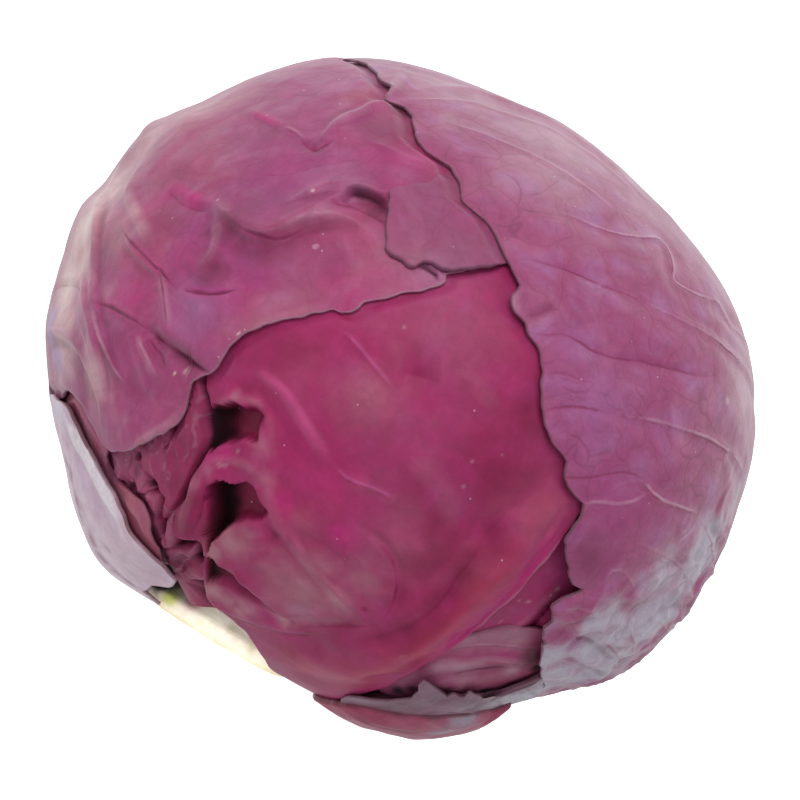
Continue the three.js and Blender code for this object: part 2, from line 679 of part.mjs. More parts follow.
// ---- materials and assembly ---------------------------------------------------------------
const look = (color, roughness) => new THREE.MeshStandardMaterial({ color, roughness, metalness: 0 });
const LOOKS = {
  wrapper: look(0x9a5a7c, 0.5),
  wrapperPale: look(0xb493ab, 0.5),
  inner: look(0x9b3563, 0.42),
  ruffle: look(0x7c2c4c, 0.45),
  stem: look(0xe9e4bd, 0.7),
};

const stemHole = stemSolid(STEM_CLEARANCE);
const aroundStem = (solid) => largestPart(solid.subtract(stemHole));

// What the cut leaves of a solid, without any loose scrap.
function largestPart(solid) {
  return solid.decompose().reduce((a, b) => (b.volume() > a.volume() ? b : a));
}

const cabbage = new THREE.Group();
cabbage.add(
  meshOf("cut_stem", stemSolid(0), LOOKS.stem),
  meshOf("inner_head", aroundStem(innerHeadSolid()), LOOKS.ruffle),
  meshOf("front_leaf", aroundStem(leafSolid(frontLeaf)), LOOKS.inner),
  meshOf("lower_inner_leaf", leafSolid(lowerInnerLeaf), LOOKS.inner),
  meshOf("top_leaf", leafSolid(topLeaf), LOOKS.wrapper),
  meshOf("left_inner_leaf", leafSolid(leftInnerLeaf), LOOKS.inner),
  meshOf("back_leaf", aroundStem(leafSolid(backLeaf)), LOOKS.wrapper),
  meshOf("left_outer_leaf", aroundStem(leafSolid(leftOuterLeaf)), LOOKS.wrapperPale),
  meshOf("right_leaf", aroundStem(leafSolid(rightLeaf)), LOOKS.wrapper),
  meshOf("bottom_leaf", aroundStem(leafSolid(bottomLeaf)), LOOKS.inner),
);

export default cabbage;
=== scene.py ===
"""A red cabbage head: fine leaf skins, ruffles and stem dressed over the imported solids, with a studio."""
import math

import bpy
import numpy as np
from mathutils import Matrix


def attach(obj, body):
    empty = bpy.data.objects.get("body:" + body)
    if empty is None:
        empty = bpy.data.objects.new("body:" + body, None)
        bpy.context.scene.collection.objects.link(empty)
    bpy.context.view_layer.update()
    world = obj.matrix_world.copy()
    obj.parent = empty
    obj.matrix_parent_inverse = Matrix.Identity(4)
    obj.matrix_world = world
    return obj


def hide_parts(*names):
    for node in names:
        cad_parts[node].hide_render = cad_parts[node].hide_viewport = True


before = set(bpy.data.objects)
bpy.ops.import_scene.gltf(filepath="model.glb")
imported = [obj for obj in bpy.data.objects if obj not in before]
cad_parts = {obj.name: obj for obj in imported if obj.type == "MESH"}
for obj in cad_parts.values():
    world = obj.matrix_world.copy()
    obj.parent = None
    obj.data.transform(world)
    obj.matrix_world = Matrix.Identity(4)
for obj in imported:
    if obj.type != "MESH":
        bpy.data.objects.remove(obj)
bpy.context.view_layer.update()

# ---- the head's surface, in millimetres ------------------------------------------------------
CENTRE = np.array([5.0, 0.0, 63.5])
HALF_DEPTH = 75.0
MEAN_RADIUS = 72.0
ARC = 70.0  # millimetres along the skin for one radian
LEAF = 1.15  # thickness of a blade
LAP = 0.45  # air between two blades
COVER = LEAF + LAP
FLOOR = 0.3  # the leaves stay this far above the floor
# Places seen from the front are given on a sheet of 800 by 800 squares that is square to the line of sight.
SQUARE = 0.21
MIDDLE = 400.0
LEAN = math.radians(31)
EYE = np.array([6.3, -700.0, 62.6])
LIMB_SHRINK = 0.994
# the head's outline on the sheet, clockwise from the right
LIMB = [
    (757, 400), (745, 335), (722, 285), (690, 240), (640, 188), (597, 150), (555, 121), (515, 102),
    (470, 85), (430, 71), (385, 61), (330, 60), (270, 72), (205, 100), (150, 126), (105, 181), (80, 206),
    (60, 262), (45, 320), (47, 380), (60, 450), (76, 515), (100, 563), (148, 600), (215, 636), (285, 678),
    (340, 706), (385, 722), (415, 728), (460, 722), (510, 704), (565, 690), (620, 672), (660, 638),
    (700, 590), (735, 515), (752, 460),
]
COS, SIN = math.cos(LEAN), math.sin(LEAN)
DEG = math.pi / 180
TURN = 2 * math.pi


def unit(v):
    return v / np.linalg.norm(v, axis=-1, keepdims=True)


def globe(lon, lat):
    """The direction at a longitude and latitude in degrees: 0 is the front, 90 the right, 180 the back."""
    lon, lat = lon * DEG, lat * DEG
    return np.array([math.cos(lat) * math.sin(lon), -math.cos(lat) * math.cos(lon), math.sin(lat)])


def sheet_plane(xy):
    """Sheet squares as points of the upright plane through the head's middle."""
    xy = np.asarray(xy, float)
    right, up = (xy[..., 0] - MIDDLE) * SQUARE, (MIDDLE - xy[..., 1]) * SQUARE
    x = EYE[0] + right * COS - up * SIN
    z = EYE[2] + right * SIN + up * COS
    return np.stack([x, np.zeros_like(x), z], -1)


def on_sheet(p):
    """The sheet squares at which points are seen."""
    scale = -EYE[1] / (p[..., 1] - EYE[1])
    x, z = (p[..., 0] - EYE[0]) * scale, (p[..., 2] - EYE[2]) * scale
    across, up = x * COS + z * SIN, z * COS - x * SIN
    return np.stack([MIDDLE + across / SQUARE, MIDDLE - up / SQUARE], -1)


def clamp(t):
    return np.clip(t, 0.0, 1.0)


def smooth(start, end, t):
    """0 at start, 1 at end, and a soft step between them."""
    s = clamp((t - start) / (end - start))
    return s * s * (3 - 2 * s)


def periodic_curve(angles, values):
    """A smooth closed curve through (angle, value) knots."""
    order = np.argsort(angles)
    a, v = np.asarray(angles, float)[order], np.asarray(values, float)[order]
    n = len(a)
    long_a = np.concatenate([a[-2:] - TURN, a, a[:3] + TURN])
    long_v = np.concatenate([v[-2:], v, v[:3]])
    slope = (long_v[2:] - long_v[:-2]) / (long_a[2:] - long_a[:-2])

    def read(angle):
        angle = (angle - a[0]) % TURN + a[0]
        i = np.clip(np.searchsorted(a, angle, side="right") - 1, 0, n - 1)
        a0, a1 = long_a[i + 2], long_a[i + 3]
        v0, v1 = long_v[i + 2], long_v[i + 3]
        span = a1 - a0
        t = (angle - a0) / span
        r0, r1 = slope[i + 1] * span, slope[i + 2] * span
        return (
            v0 * (2 * t**3 - 3 * t**2 + 1) + r0 * (t**3 - 2 * t**2 + t)
            + v1 * (3 * t**2 - 2 * t**3) + r1 * (t**3 - t**2)
        )

    return read


limb_points = sheet_plane(LIMB) - CENTRE
limb_radius = periodic_curve(
    np.arctan2(limb_points[:, 2], limb_points[:, 0]) % TURN,
    np.hypot(limb_points[:, 0], limb_points[:, 2]) * LIMB_SHRINK,
)


def skin(d):
    """The head's radius in directions d."""
    across = np.hypot(d[..., 0], d[..., 2])
    radius = limb_radius(np.arctan2(d[..., 2], d[..., 0]) % TURN)
    return 1 / np.hypot(across / radius, d[..., 1] / HALF_DEPTH)


def surface(d, level):
    """The points at a level over the head's skin, in directions d. Nothing reaches under the floor."""
    radius = skin(d) + level
    down = d[..., 2] < -1e-6
    to_floor = (CENTRE[2] - FLOOR) / np.where(down, -d[..., 2], 1)
    radius = np.where(down, np.minimum(radius, to_floor), radius)
    return d * radius[..., None] + CENTRE


# A line of sight is searched from the head's near side to just behind its middle, in shares of its length.
SIGHT_STEP = 0.005
SIGHT = np.arange(0.87, 1.031, SIGHT_STEP)


def sheet_direction(xy, level):
    """The directions of the points of a surface that are seen at sheet squares."""
    ray = sheet_plane(xy) - EYE

    def height(s):
        p = EYE + ray * s[..., None] - CENTRE
        reach = np.linalg.norm(p, axis=-1)
        d = p / reach[..., None]
        return reach - skin(d) - level(d), d

    shape = ray.shape[:-1]
    best, best_s = np.full(shape, np.inf), np.full(shape, SIGHT[0])
    hit, hit_s = np.zeros(shape, bool), np.full(shape, SIGHT[0])
    for s in SIGHT:
        h, _ = height(np.full(shape, s))
        closer = h < best
        best, best_s = np.where(closer, h, best), np.where(closer, s, best_s)
        first = (h <= 0) & ~hit
        hit_s = np.where(first, s, hit_s)
        hit |= first
    low, high = hit_s - SIGHT_STEP, hit_s.copy()
    for _ in range(22):
        mid = (low + high) / 2
        out = height(mid)[0] > 0
        low, high = np.where(out, mid, low), np.where(out, high, mid)
    return height(np.where(hit, high, best_s))[1]


# ---- smooth random fields ---------------------------------------------------------------------
LATTICE = 32
lattice = np.random.default_rng(7).uniform(-1, 1, (8, LATTICE, LATTICE, LATTICE))


def noise(p, size, seed=0):
    """Smooth random values from -1 to 1 that change over about `size` millimetres."""
    q = p / size + 11.3 * (seed + 1)
    cell = np.floor(q).astype(int)
    f = q - cell
    f = f * f * (3 - 2 * f)
    table = lattice[seed % 8]
    total = 0
    for corner in range(8):
        step = np.array([corner & 1, corner >> 1 & 1, corner >> 2 & 1])
        weight = np.prod(np.where(step, f, 1 - f), -1)
        i = (cell + step) % LATTICE
        total = total + weight * table[i[..., 0], i[..., 1], i[..., 2]]
    return total


def lumps(d):
    """The uneven roundness that all leaves share."""
    p = d * MEAN_RADIUS
    return 0.55 * noise(p, 30, 1) + 0.22 * noise(p, 13, 2)


# ---- lines and outlines -----------------------------------------------------------------------
def directions(points, level):
    """Directions of a mixed list of sheet squares and directions."""
    marks = [np.asarray(p, float) for p in points]
    flat = [i for i, m in enumerate(marks) if len(m) == 2]
    out = np.array([m if len(m) == 3 else (0, 0, 0) for m in marks], float)
    if flat:
        out[flat] = sheet_direction(np.array([marks[i] for i in flat]), level)
    return out


def curve_through(p, step=1.2):
    """A smooth line through 3-D points, with a point about every `step` millimetres."""
    if len(p) < 3:
        count = max(2, int(np.linalg.norm(p[-1] - p[0]) / step) + 1)
        return p[0] + (p[-1] - p[0]) * np.linspace(0, 1, count)[:, None]
    ext = np.concatenate([[2 * p[0] - p[1]], p, [2 * p[-1] - p[-2]]])
    parts = []
    for i in range(len(p) - 1):
        a, b, c, e = ext[i : i + 4]
        count = max(1, int(np.linalg.norm(c - b) / step))
        t = np.arange(count)[:, None] / count
        parts.append(
            0.5 * (2 * b + (c - a) * t + (2 * a - 5 * b + 4 * c - e) * t**2 + (3 * b - a - 3 * c + e) * t**3)
        )
    return np.concatenate([*parts, p[-1:]])


def nearest(x, line, reach):
    """The points x within reach of a line: their numbers, distances, places along it (0 to 1) and sides."""
    low, high = line.min(0) - reach, line.max(0) + reach
    near = np.where(((x > low) & (x < high)).all(1))[0]
    q = x[near]
    best, along, side = np.full(len(q), np.inf), np.zeros(len(q)), np.zeros(len(q))
    outward = unit(q - CENTRE)
    for i in range(len(line) - 1):
        a, ab = line[i], line[i + 1] - line[i]
        t = clamp((q - a) @ ab / max(ab @ ab, 1e-9))
        off = q - a - t[:, None] * ab
        dist = np.linalg.norm(off, axis=1)
        closer = dist < best
        here = np.sign(np.einsum("ij,ij->i", np.cross(outward, ab), off))
        best = np.where(closer, dist, best)
        along = np.where(closer, (i + t) / (len(line) - 1), along)
        side = np.where(closer, here, side)
    keep = best < reach
    return near[keep], best[keep], along[keep], side[keep]


def outline_depth(at, outline):
    """How deep sheet points lie inside a closed outline, negative outside."""
    x, y = at[..., 0], at[..., 1]
    nearest_edge, inside = np.full(x.shape, np.inf), np.zeros(x.shape, bool)
    for (x0, y0), (x1, y1) in zip(outline, outline[1:] + outline[:1]):
        dx, dy = x1 - x0, y1 - y0
        t = clamp(((x - x0) * dx + (y - y0) * dy) / (dx * dx + dy * dy))
        nearest_edge = np.minimum(nearest_edge, np.hypot(x - x0 - t * dx, y - y0 - t * dy))
        if dy:
            inside ^= ((y0 > y) != (y1 > y)) & (x < x0 + (y - y0) / dy * dx)
    return np.where(inside, nearest_edge, -nearest_edge)


def patch(at, outline, soft):
    """1 inside an outline on the sheet and 0 outside, with a soft edge."""
    return smooth(-soft / 2, soft / 2, outline_depth(at, outline))


def faces_front(d):
    """1 on the front half of the head, 0 on the back."""
    return smooth(0.05, -0.1, d[..., 1])


# ---- leaves -----------------------------------------------------------------------------------
MARGIN_STEPS = 4096  # a margin is kept as its reach at so many turns
MARGIN_BLUR = 12  # and softened over so many of them to either side
KNOT_GAP = 0.006  # the least turn between two of its knots


def square_to(axis):
    """Two directions square to an axis and to each other."""
    side = unit(np.cross([0, 0, 1.0], axis))
    return side, np.cross(axis, side)


def swing(axis, turn, angle):
    """The directions at an angle from an axis, turned about it."""
    side, up = square_to(axis)
    along, aside = np.cos(angle)[..., None], np.sin(angle)[..., None]
    return along * axis + aside * (np.cos(turn)[..., None] * side + np.sin(turn)[..., None] * up)


class Leaf:
    """A leaf as a fan round its pole: one reach for each turn, two faces at their own levels."""

    def __init__(self, pole, margin, bed, outer=None, thick=0.7, ragged=0.25, smoothing=3):
        self.axis = directions([pole], bed)[0]
        self.bed, self.outer, self.thick = bed, outer or bed, thick
        knots = []
        for turn, angle in zip(*self.polar(directions(margin, bed))):
            last = knots[-1][0] if knots else turn
            knots.append((turn + TURN * round((last - turn) / TURN), angle))
        way = 1 if knots[-1][0] > knots[0][0] else -1
        kept = []
        for turn, angle in knots:
            back = kept and (turn - kept[-1][0]) * way < KNOT_GAP
            full = kept and (turn - kept[0][0]) * way > TURN - KNOT_GAP
            if not back and not full:
                kept.append((turn, angle))
        kept = sorted(((t + math.pi) % TURN - math.pi, a) for t, a in kept)
        grid = np.linspace(-math.pi, math.pi, MARGIN_STEPS, endpoint=False)
        reach = np.interp(grid, [t for t, _ in kept], [a for _, a in kept], period=TURN)
        shifts = np.arange(-MARGIN_BLUR, MARGIN_BLUR + 1)
        kernel = np.exp(-0.5 * (shifts / smoothing) ** 2)
        kernel /= kernel.sum()
        reach = sum(k * np.roll(reach, s) for k, s in zip(kernel, shifts))
        self.grid = grid
        edge = surface(self.direction(grid, reach), 0.0)
        fray = 0.6 * noise(edge, 3.1, 3) + 0.4 * noise(edge, 1.3, 4)
        self.table = reach + ragged * fray / ARC

    def polar(self, d):
        side, up = square_to(self.axis)
        return np.arctan2(d @ up, d @ side), np.arccos(np.clip(d @ self.axis, -1, 1))

    def direction(self, turn, angle):
        return swing(self.axis, turn, angle)

    def reach(self, turn):
        return np.interp(turn, self.grid, self.table, period=TURN)

    def inside(self, d):
        """How far directions lie inside the margin, in radians."""
        turn, angle = self.polar(d)
        return self.reach(turn) - angle


def even(level):
    """A field with one level everywhere."""
    return lambda d: np.full(d.shape[:-1], float(level))


def underneath(leaf, d, start=20, end=2.5):
    """0 at `start` degrees outside a leaf's margin, 1 from `end` degrees outside it inwards."""
    return smooth(-start * DEG, -end * DEG, leaf.inside(d))


# Margins are places on the sheet where they can be seen from the front, and directions elsewhere.
right = Leaf(
    pole=globe(95, 16),
    bed=even(0),
    margin=[
        (345, 58), (362, 62), (375, 70), (382, 81), (392, 90), (385, 100), (405, 106), (413, 114),
        (417, 140), (427, 150), (450, 166), (458, 180), (463, 200), (471, 207), (485, 210), (488, 222),
        (508, 262), (520, 284), (513, 299), (514, 312), (526, 321), (529, 334), (540, 352), (543, 370),
        (540, 402), (545, 421), (553, 443), (567, 460), (565, 478), (575, 496), (584, 504), (580, 519),
        (566, 542), (569, 570), (575, 586), (588, 592), (566, 599), (551, 610), (556, 624), (545, 631),
        (547, 650), (541, 662), (543, 676), (546, 688), globe(80, -38), globe(96, -44), globe(108, -56),
        globe(122, -70), globe(135, -81), globe(152, -77), globe(165, -63), globe(172, -54),
        globe(183, -45), globe(187, -36), globe(196, -27), globe(198, -17), globe(205, -8), globe(202, 3),
        globe(207, 13), globe(204, 23), globe(209, 33), globe(212, 42), globe(221, 49), globe(231, 53),
        globe(243, 59), globe(257, 56),
    ],
    ragged=0.5, smoothing=2,
)
left_outer = Leaf(
    pole=globe(-96, -38),
    bed=even(0),
    margin=[
        (46, 398), (56, 400), (66, 408), (76, 428), (85, 447), (94, 464), (104, 481), (114, 499),
        (122, 517), (130, 534), (140, 546), (152, 556), (164, 567), (175, 580), (170, 587), (150, 585),
        (141, 591), (150, 600), (158, 611), globe(-62, -80), globe(-90, -81), globe(-118, -79),
        globe(-134, -66), globe(-143, -56), globe(-145, -46), globe(-150, -38), globe(-147, -28),
        globe(-140, -22), globe(-131, -15), globe(-122, -18), globe(-112, -15), globe(-104, -23),
        globe(-97, -29),
    ],
    thick=0.8, ragged=0.45,
)
back = Leaf(
    pole=globe(178, -8),
    bed=lambda d: -1.1 * COVER * np.maximum(underneath(right, d, 26, 9), underneath(left_outer, d, 24, 8)),
    margin=[
        globe(150, -73), globe(156, -81), globe(196, -81), globe(234, -81), globe(238, -70),
        globe(236, -58), globe(240, -46), globe(238, -36), globe(243, -26), globe(241, -16), globe(245, -8),
        globe(242, 2), globe(244, 11), globe(239, 20), globe(236, 29), globe(230, 37), globe(223, 46),
        globe(210, 53), globe(190, 60), globe(165, 56), globe(140, 42), globe(128, 18), globe(126, -10),
        globe(130, -38), globe(140, -60),
    ],
    ragged=0.6,
)
# where the top leaf lies lower under its own folded corner, and the hollow in front of that corner
FOLD_UNDER = [
    (400, 190), (440, 185), (520, 200), (530, 250), (475, 285), (450, 300), (360, 330), (300, 340),
    (230, 372), (180, 392), (186, 330), (198, 285), (206, 240), (222, 214), (243, 226), (264, 238),
    (300, 222), (330, 203), (350, 192), (385, 196),
]
FOLD_DROP = 1.1
FOLD_HOLLOW = [(343, 199), (350, 190), (366, 191), (386, 199), (396, 212), (396, 222), (380, 216), (358, 206)]
top = Leaf(
    pole=(235, 190),
    bed=lambda d: -np.maximum(
        np.maximum(1.3 * underneath(right, d, 3.5, 0.6), 1.2 * underneath(left_outer, d, 5, 0.8)),
        2.45 * COVER * underneath(back, d, 26, 9),
    ),
    margin=[
        (42, 422), (52, 415), (58, 400), (62, 392), (67, 390), (73, 395), (79, 404), (85, 415), (90, 427),
        (96, 439), (101, 449), (110, 453), (128, 449), (146, 440), (163, 432), (177, 421), (184, 409),
        (188, 393), (190, 381), (199, 375), (208, 372), (215, 367), (221, 356), (228, 346), (240, 336),
        (262, 324), (281, 317), (305, 311), (331, 307), (339, 311), (350, 311), (357, 307), (363, 301),
        (400, 291), (438, 283), (446, 279), (446, 271), (475, 266), (500, 262), (525, 252), (545, 232),
        (545, 200), (520, 160), (485, 125), (455, 95), globe(-30, 72), globe(-100, 76), globe(-150, 62),
        globe(-139, 40), globe(-133, 20), globe(-129, 0), globe(-127, -20), globe(-120, -34),
        globe(-106, -40), globe(-94, -38),
    ],
)


def top_outer(d):
    """The top leaf's outer face, lower below the folded corner."""
    bed = top.bed(d)
    at = on_sheet(surface(d, bed))
    drop = FOLD_DROP * patch(at, FOLD_UNDER, 9) * smooth(185, 285, at[..., 0])
    return bed - faces_front(d) * (drop + 1.1 * patch(at, FOLD_HOLLOW, 4))


top.outer = top_outer
left_inner = Leaf(
    pole=(91, 466),
    bed=lambda d: -COVER * np.maximum(
        np.maximum(underneath(left_outer, d, 7, 1), 1.4 * underneath(top, d, 6, 0.5)), 0.8
    ),
    margin=[
        (78, 372), (92, 385), (103, 405), (107, 425), (106, 445), (103, 457), (105, 468), (110, 478),
        (120, 487), (131, 494), (140, 502), (146, 514), (150, 528), (153, 540), (158, 550), (160, 561),
        (148, 565), (128, 553), (110, 534), (93, 505), (76, 475), (62, 448), (55, 425), (52, 405),
        (55, 388), (66, 374),
    ],
    ragged=0.35, smoothing=6,
)
POCKETS = [
    # outline, depth, softness of its edge, and its left and right ends
    ([(202, 412), (216, 405), (232, 405), (248, 409), (263, 416), (261, 422), (256, 432), (252, 440),
      (240, 440), (226, 443), (214, 448), (202, 452)], 5.6, 3.5, 208, 262),
    ([(207, 488), (216, 483), (230, 485), (244, 484), (252, 491), (258, 500), (265, 511), (262, 519),
      (250, 521), (238, 523), (227, 526), (218, 533), (210, 543), (206, 551)], 6.2, 3.5, 208, 265),
    ([(203, 559), (214, 563), (228, 572), (244, 586), (260, 598), (240, 591), (222, 583), (205, 580)],
     2.6, 5, 195, 262),
]
# the thicker part of the front leaf behind them
POCKET_BED = [(206, 398), (262, 396), (280, 450), (285, 520), (262, 560), (285, 612), (200, 580), (198, 480)]


def petiole(d):
    """1 on the stalk that leads down to the stem."""
    return smooth(-0.72, -0.93, d[..., 2])


def front_bed(d):
    """The front leaf lies under the top and the right leaf, and comes up to the skin at its stalk."""
    covered = np.maximum(0.8 * underneath(top, d, 2.5, 0.4), 0.35 * underneath(right, d, 3, 0.5))
    flush = petiole(d)
    bare = (1.6 + covered) * (1 - flush) + 0.25 * flush
    far_under = 1.6 * smooth(4 * DEG, 9 * DEG, top.inside(d)) * (1 - flush)
    return -np.maximum(bare + far_under, COVER * underneath(right, d, 4, 1))


front = Leaf(
    pole=(380, 430),
    bed=front_bed,
    margin=[
        (203, 352), (206, 372), (207, 395), (209, 412), (210, 430), (206, 447), (199, 462), (192, 476),
        (186, 490), (182, 503), (173, 515), (170, 527), (173, 538), (185, 541), (197, 541), (202, 549),
        (203, 560), (203, 586), (206, 600), (218, 612), (232, 622), (245, 633), (256, 647), (266, 660),
        (278, 674), globe(2, -80), globe(30, -81), globe(62, -80), globe(80, -74), (340, 698), (365, 695),
        (385, 690), (400, 682), (420, 672), (440, 660), (456, 648), (470, 637), (485, 625), (500, 612),
        (513, 600), (526, 587), (540, 570), (552, 553), (562, 537), (578, 516), (602, 490), (612, 440),
        (605, 380), (588, 320), (565, 270), (538, 232), (500, 200), (455, 180), (400, 172), (350, 186),
        (305, 215), (270, 245), (240, 275), (218, 305), (206, 330),
    ],
    ragged=0.05, smoothing=5,
)


def front_inner(d):
    """Its inner face, deeper behind the hollows and at the stalk."""
    at = on_sheet(surface(d, front_bed(d)))
    margin = clamp(front.inside(d) / (4 * DEG))
    bed = 6.2 * patch(at, POCKET_BED, 18) * faces_front(d) * margin
    return front_bed(d) - LEAF - bed - 2.4 * petiole(d) * clamp(front.inside(d) / (5 * DEG))


def pockets(at):
    """Depth of the hollows in the front leaf, and how much painted shade darkens them."""
    deep, dark = 0, 0
    wavy = np.stack([at[..., 0], at[..., 1], 0 * at[..., 0]], -1)
    at = at + 4.0 * np.stack([noise(wavy, 11, 1), noise(wavy, 11, 2)], -1)
    for outline, depth, soft, start, end in POCKETS:
        right_share = clamp((at[..., 0] - start) / (end - start))
        inside = patch(at, outline, soft * (1 + 1.6 * right_share))
        deep = np.maximum(deep, depth * inside * (1 - 0.62 * right_share))
        dark = np.maximum(dark, inside * smooth(0.6, 0.15, right_share))
    return deep, dark


def front_outer(d):
    """Its outer face with the hollows, where it isn't covered."""
    bed = front_bed(d)
    height = -pockets(on_sheet(surface(d, bed)))[0]
    covered = np.maximum(underneath(top, d, 6, 1.5), underneath(right, d, 6, 1.5))
    hidden = np.maximum(covered, petiole(d))
    return bed + np.maximum(height * faces_front(d) * (1 - hidden), front_inner(d) + 0.75 - bed)


front.outer = front_outer


def lower_bed(d):
    """The lower inner leaf comes up towards the head's foot."""
    at = on_sheet(surface(d, -3.0))
    return -4.2 + 2.7 * smooth(668, 700, at[..., 1] + 0.14 * (at[..., 0] - 340)) * faces_front(d)


lower_inner = Leaf(
    pole=(515, 662),
    bed=lower_bed,
    margin=[
        (375, 690), (405, 672), (430, 650), (452, 640), (475, 634), (500, 628), (525, 628), (548, 632),
        (575, 640), (600, 660), (610, 680), globe(62, -62), globe(45, -66), (440, 705), (400, 702),
    ],
    smoothing=8,
)
behind_lower = Leaf(
    pole=(535, 600),
    bed=even(-4.95),
    margin=[
        (455, 652), (470, 640), (485, 620), (500, 598), (530, 560), (560, 520), (590, 500), (615, 540),
        (622, 600), (612, 650), (580, 672), (540, 680), (500, 676), (470, 668),
    ],
    smoothing=8,
)
bottom = Leaf(
    pole=globe(88, -61),
    bed=even(0.85),
    outer=lambda d: 0.45 + 2.2 * smooth(-3 * DEG, 5 * DEG, bottom.inside(d)),
    margin=[
        (330, 703), (352, 707), (380, 713), (410, 718), (440, 719), (470, 717), (495, 712), (512, 706),
        globe(94, -47), globe(106, -51), globe(112, -60), globe(106, -68), globe(92, -72),
    ],
    thick=1.6, ragged=0.4,
)


def strip_level(d):
    """The torn base lies on the skin and dips where it meets the rest of the right leaf."""
    at = on_sheet(surface(d, 0.0))
    return 0.3 - 1.2 * np.maximum(smooth(532, 556, at[..., 0]), smooth(0.0, 0.25, d[..., 1]))


strip = Leaf(
    pole=(470, 713),
    bed=strip_level,
    margin=[
        (338, 702), (354, 698), (372, 699), (388, 701), (400, 700), (412, 699), (418, 693), (420, 684),
        (423, 679), (426, 684), (430, 692), (438, 697), (447, 699), (453, 695), (458, 698), (464, 700),
        (470, 694), (475, 697), (483, 702), (489, 703), (491, 692), (493, 680), (499, 683), (508, 680),
        (518, 680), (524, 677), (526, 668), (532, 673), (541, 673), (550, 668), (562, 664), (572, 672),
        (572, 700), globe(88, -60), globe(90, -68), globe(82, -74),
    ],
    smoothing=1,
)


def fold_lift(d):
    """The folded corner lies over the top leaf and sinks into it at its upper edge."""
    at = on_sheet(surface(d, top.bed(d)))
    return 0.35 - 1.5 * smooth(196, 160, at[..., 1] + 0.25 * (at[..., 0] - 400))


fold = Leaf(
    pole=(445, 220),
    bed=lambda d: top.bed(d) + fold_lift(d),
    margin=[
        (386, 184), (391, 196), (391, 212), (389, 226), (386, 238), (385, 246), (390, 253), (397, 259),
        (406, 264), (415, 266), (422, 262), (432, 262), (442, 267), (458, 267), (475, 266), (500, 262),
        (524, 253), (540, 235), (530, 205), (505, 172), (470, 150), (430, 140), (400, 146), (386, 160),
        (382, 174),
    ],
    ragged=0.15,
)


# ---- relief: what each kind of line does -------------------------------------------------------
# width and height in millimetres, sharp or round, and its marks: strength and share of the width
SHARP, ROUND = 1, 2
KINDS = {
    "vein": (0.9, 0.2, ROUND, {"line": (0.4, 1.7)}),
    "lateral": (2.0, 0.3, ROUND, {"line": (0.42, 0.8)}),
    "soft_vein": (1.4, 0.22, ROUND, {"line": (0.45, 1.2)}),
    "red_vein": (1.6, -0.25, SHARP, {"ink": (0.6, 0.8), "hot": (0.8, 0.8)}),
    # creases: painted shade along the dip, and a saturated magenta that paints light shining through the thin
    # fold
    "crease": (2.6, -0.85, SHARP, {"ink": (0.7, 0.6), "deep": (0.5, 1.0), "hot": (0.9, 0.3)}),
    # folds, ribs and drapes: a painted highlight along the crest
    "fold": (3.8, 1.05, SHARP, {"pale": (0.45, 0.4)}),
    "rib": (4.2, 1.7, ROUND, {"pale": (0.04, 0.7)}),
    "drape": (7.0, 1.1, SHARP, {"pale": (0.1, 0.3), "line": (0.42, 0.24)}),
    # slits: a near-black line of painted shade in a narrow gap
    "slit": (0.9, -0.3, SHARP, {"gap_shade": (0.95, 0.7)}),
    # valleys: painted shade along the dip, and the same painted magenta of light through the fold
    "valley": (5.0, -1.2, SHARP, {"hot": (0.35, 0.6), "deep": (0.5, 1.0)}),
    "glow": (1.1, 0.1, ROUND, {"hot": (1.0, 1.0)}),
    "shade": (3.0, 0.0, ROUND, {"deep": (0.9, 1.0)}),
    "light": (2.5, 0.0, ROUND, {"pale": (0.8, 1.0)}),
    # a painted pink highlight along a crest
    "blush": (2.5, 0.0, ROUND, {"pink": (0.8, 1.0)}),
    # a painted highlight line along a fold
    "line_fold": (2.0, 0.35, SHARP, {"line": (0.55, 0.7)}),
    "step": (2.6, 0.55, ROUND, {}),
    "thread": (1.5, -0.15, SHARP, {}),
    "highlight_hair": (1.5, 0.12, SHARP, {}),
    "dip": (5.5, -0.5, ROUND, {}),
    "white": (2.4, 0.3, ROUND, {"line": (1.0, 1.0)}),
}
MARKS = ("line", "pale", "pink", "hot", "deep", "ink", "bloom", "gap_shade", "rim", "offset", "thread", "highlight_hair")
FAR_OFF = 9.0  # "offset", the signed distance to a line, where no line is near
# how strongly a line has a fine dark thread below its middle, the vein's own dark colour on veins and painted
# shade on creases and slits, and a fine pale hair above it, a painted highlight on its raised side
THREADS = {
    "red_vein": (0.8, 0.0),
    "crease": (0.85, 0.0),
    "lateral": (0.85, 0.5),
    "soft_vein": (0.25, 0.42),
    "vein": (0.45, 0.32),
    "slit": (1.0, 0.0),
    "thread": (0.8, 0.0),
    "highlight_hair": (0.0, 0.8),
}
THREAD_REACH = 2.1
# the shaded foot of a line: its place as a share of the width, and its strength
FEET = {"lateral": (0.3, 0.26), "drape": (0.34, 0.55)}


def fresh_marks(count):
    """No marks at all, for so many points."""
    return {mark: np.full(count, FAR_OFF if mark == "offset" else 0.0) for mark in MARKS}


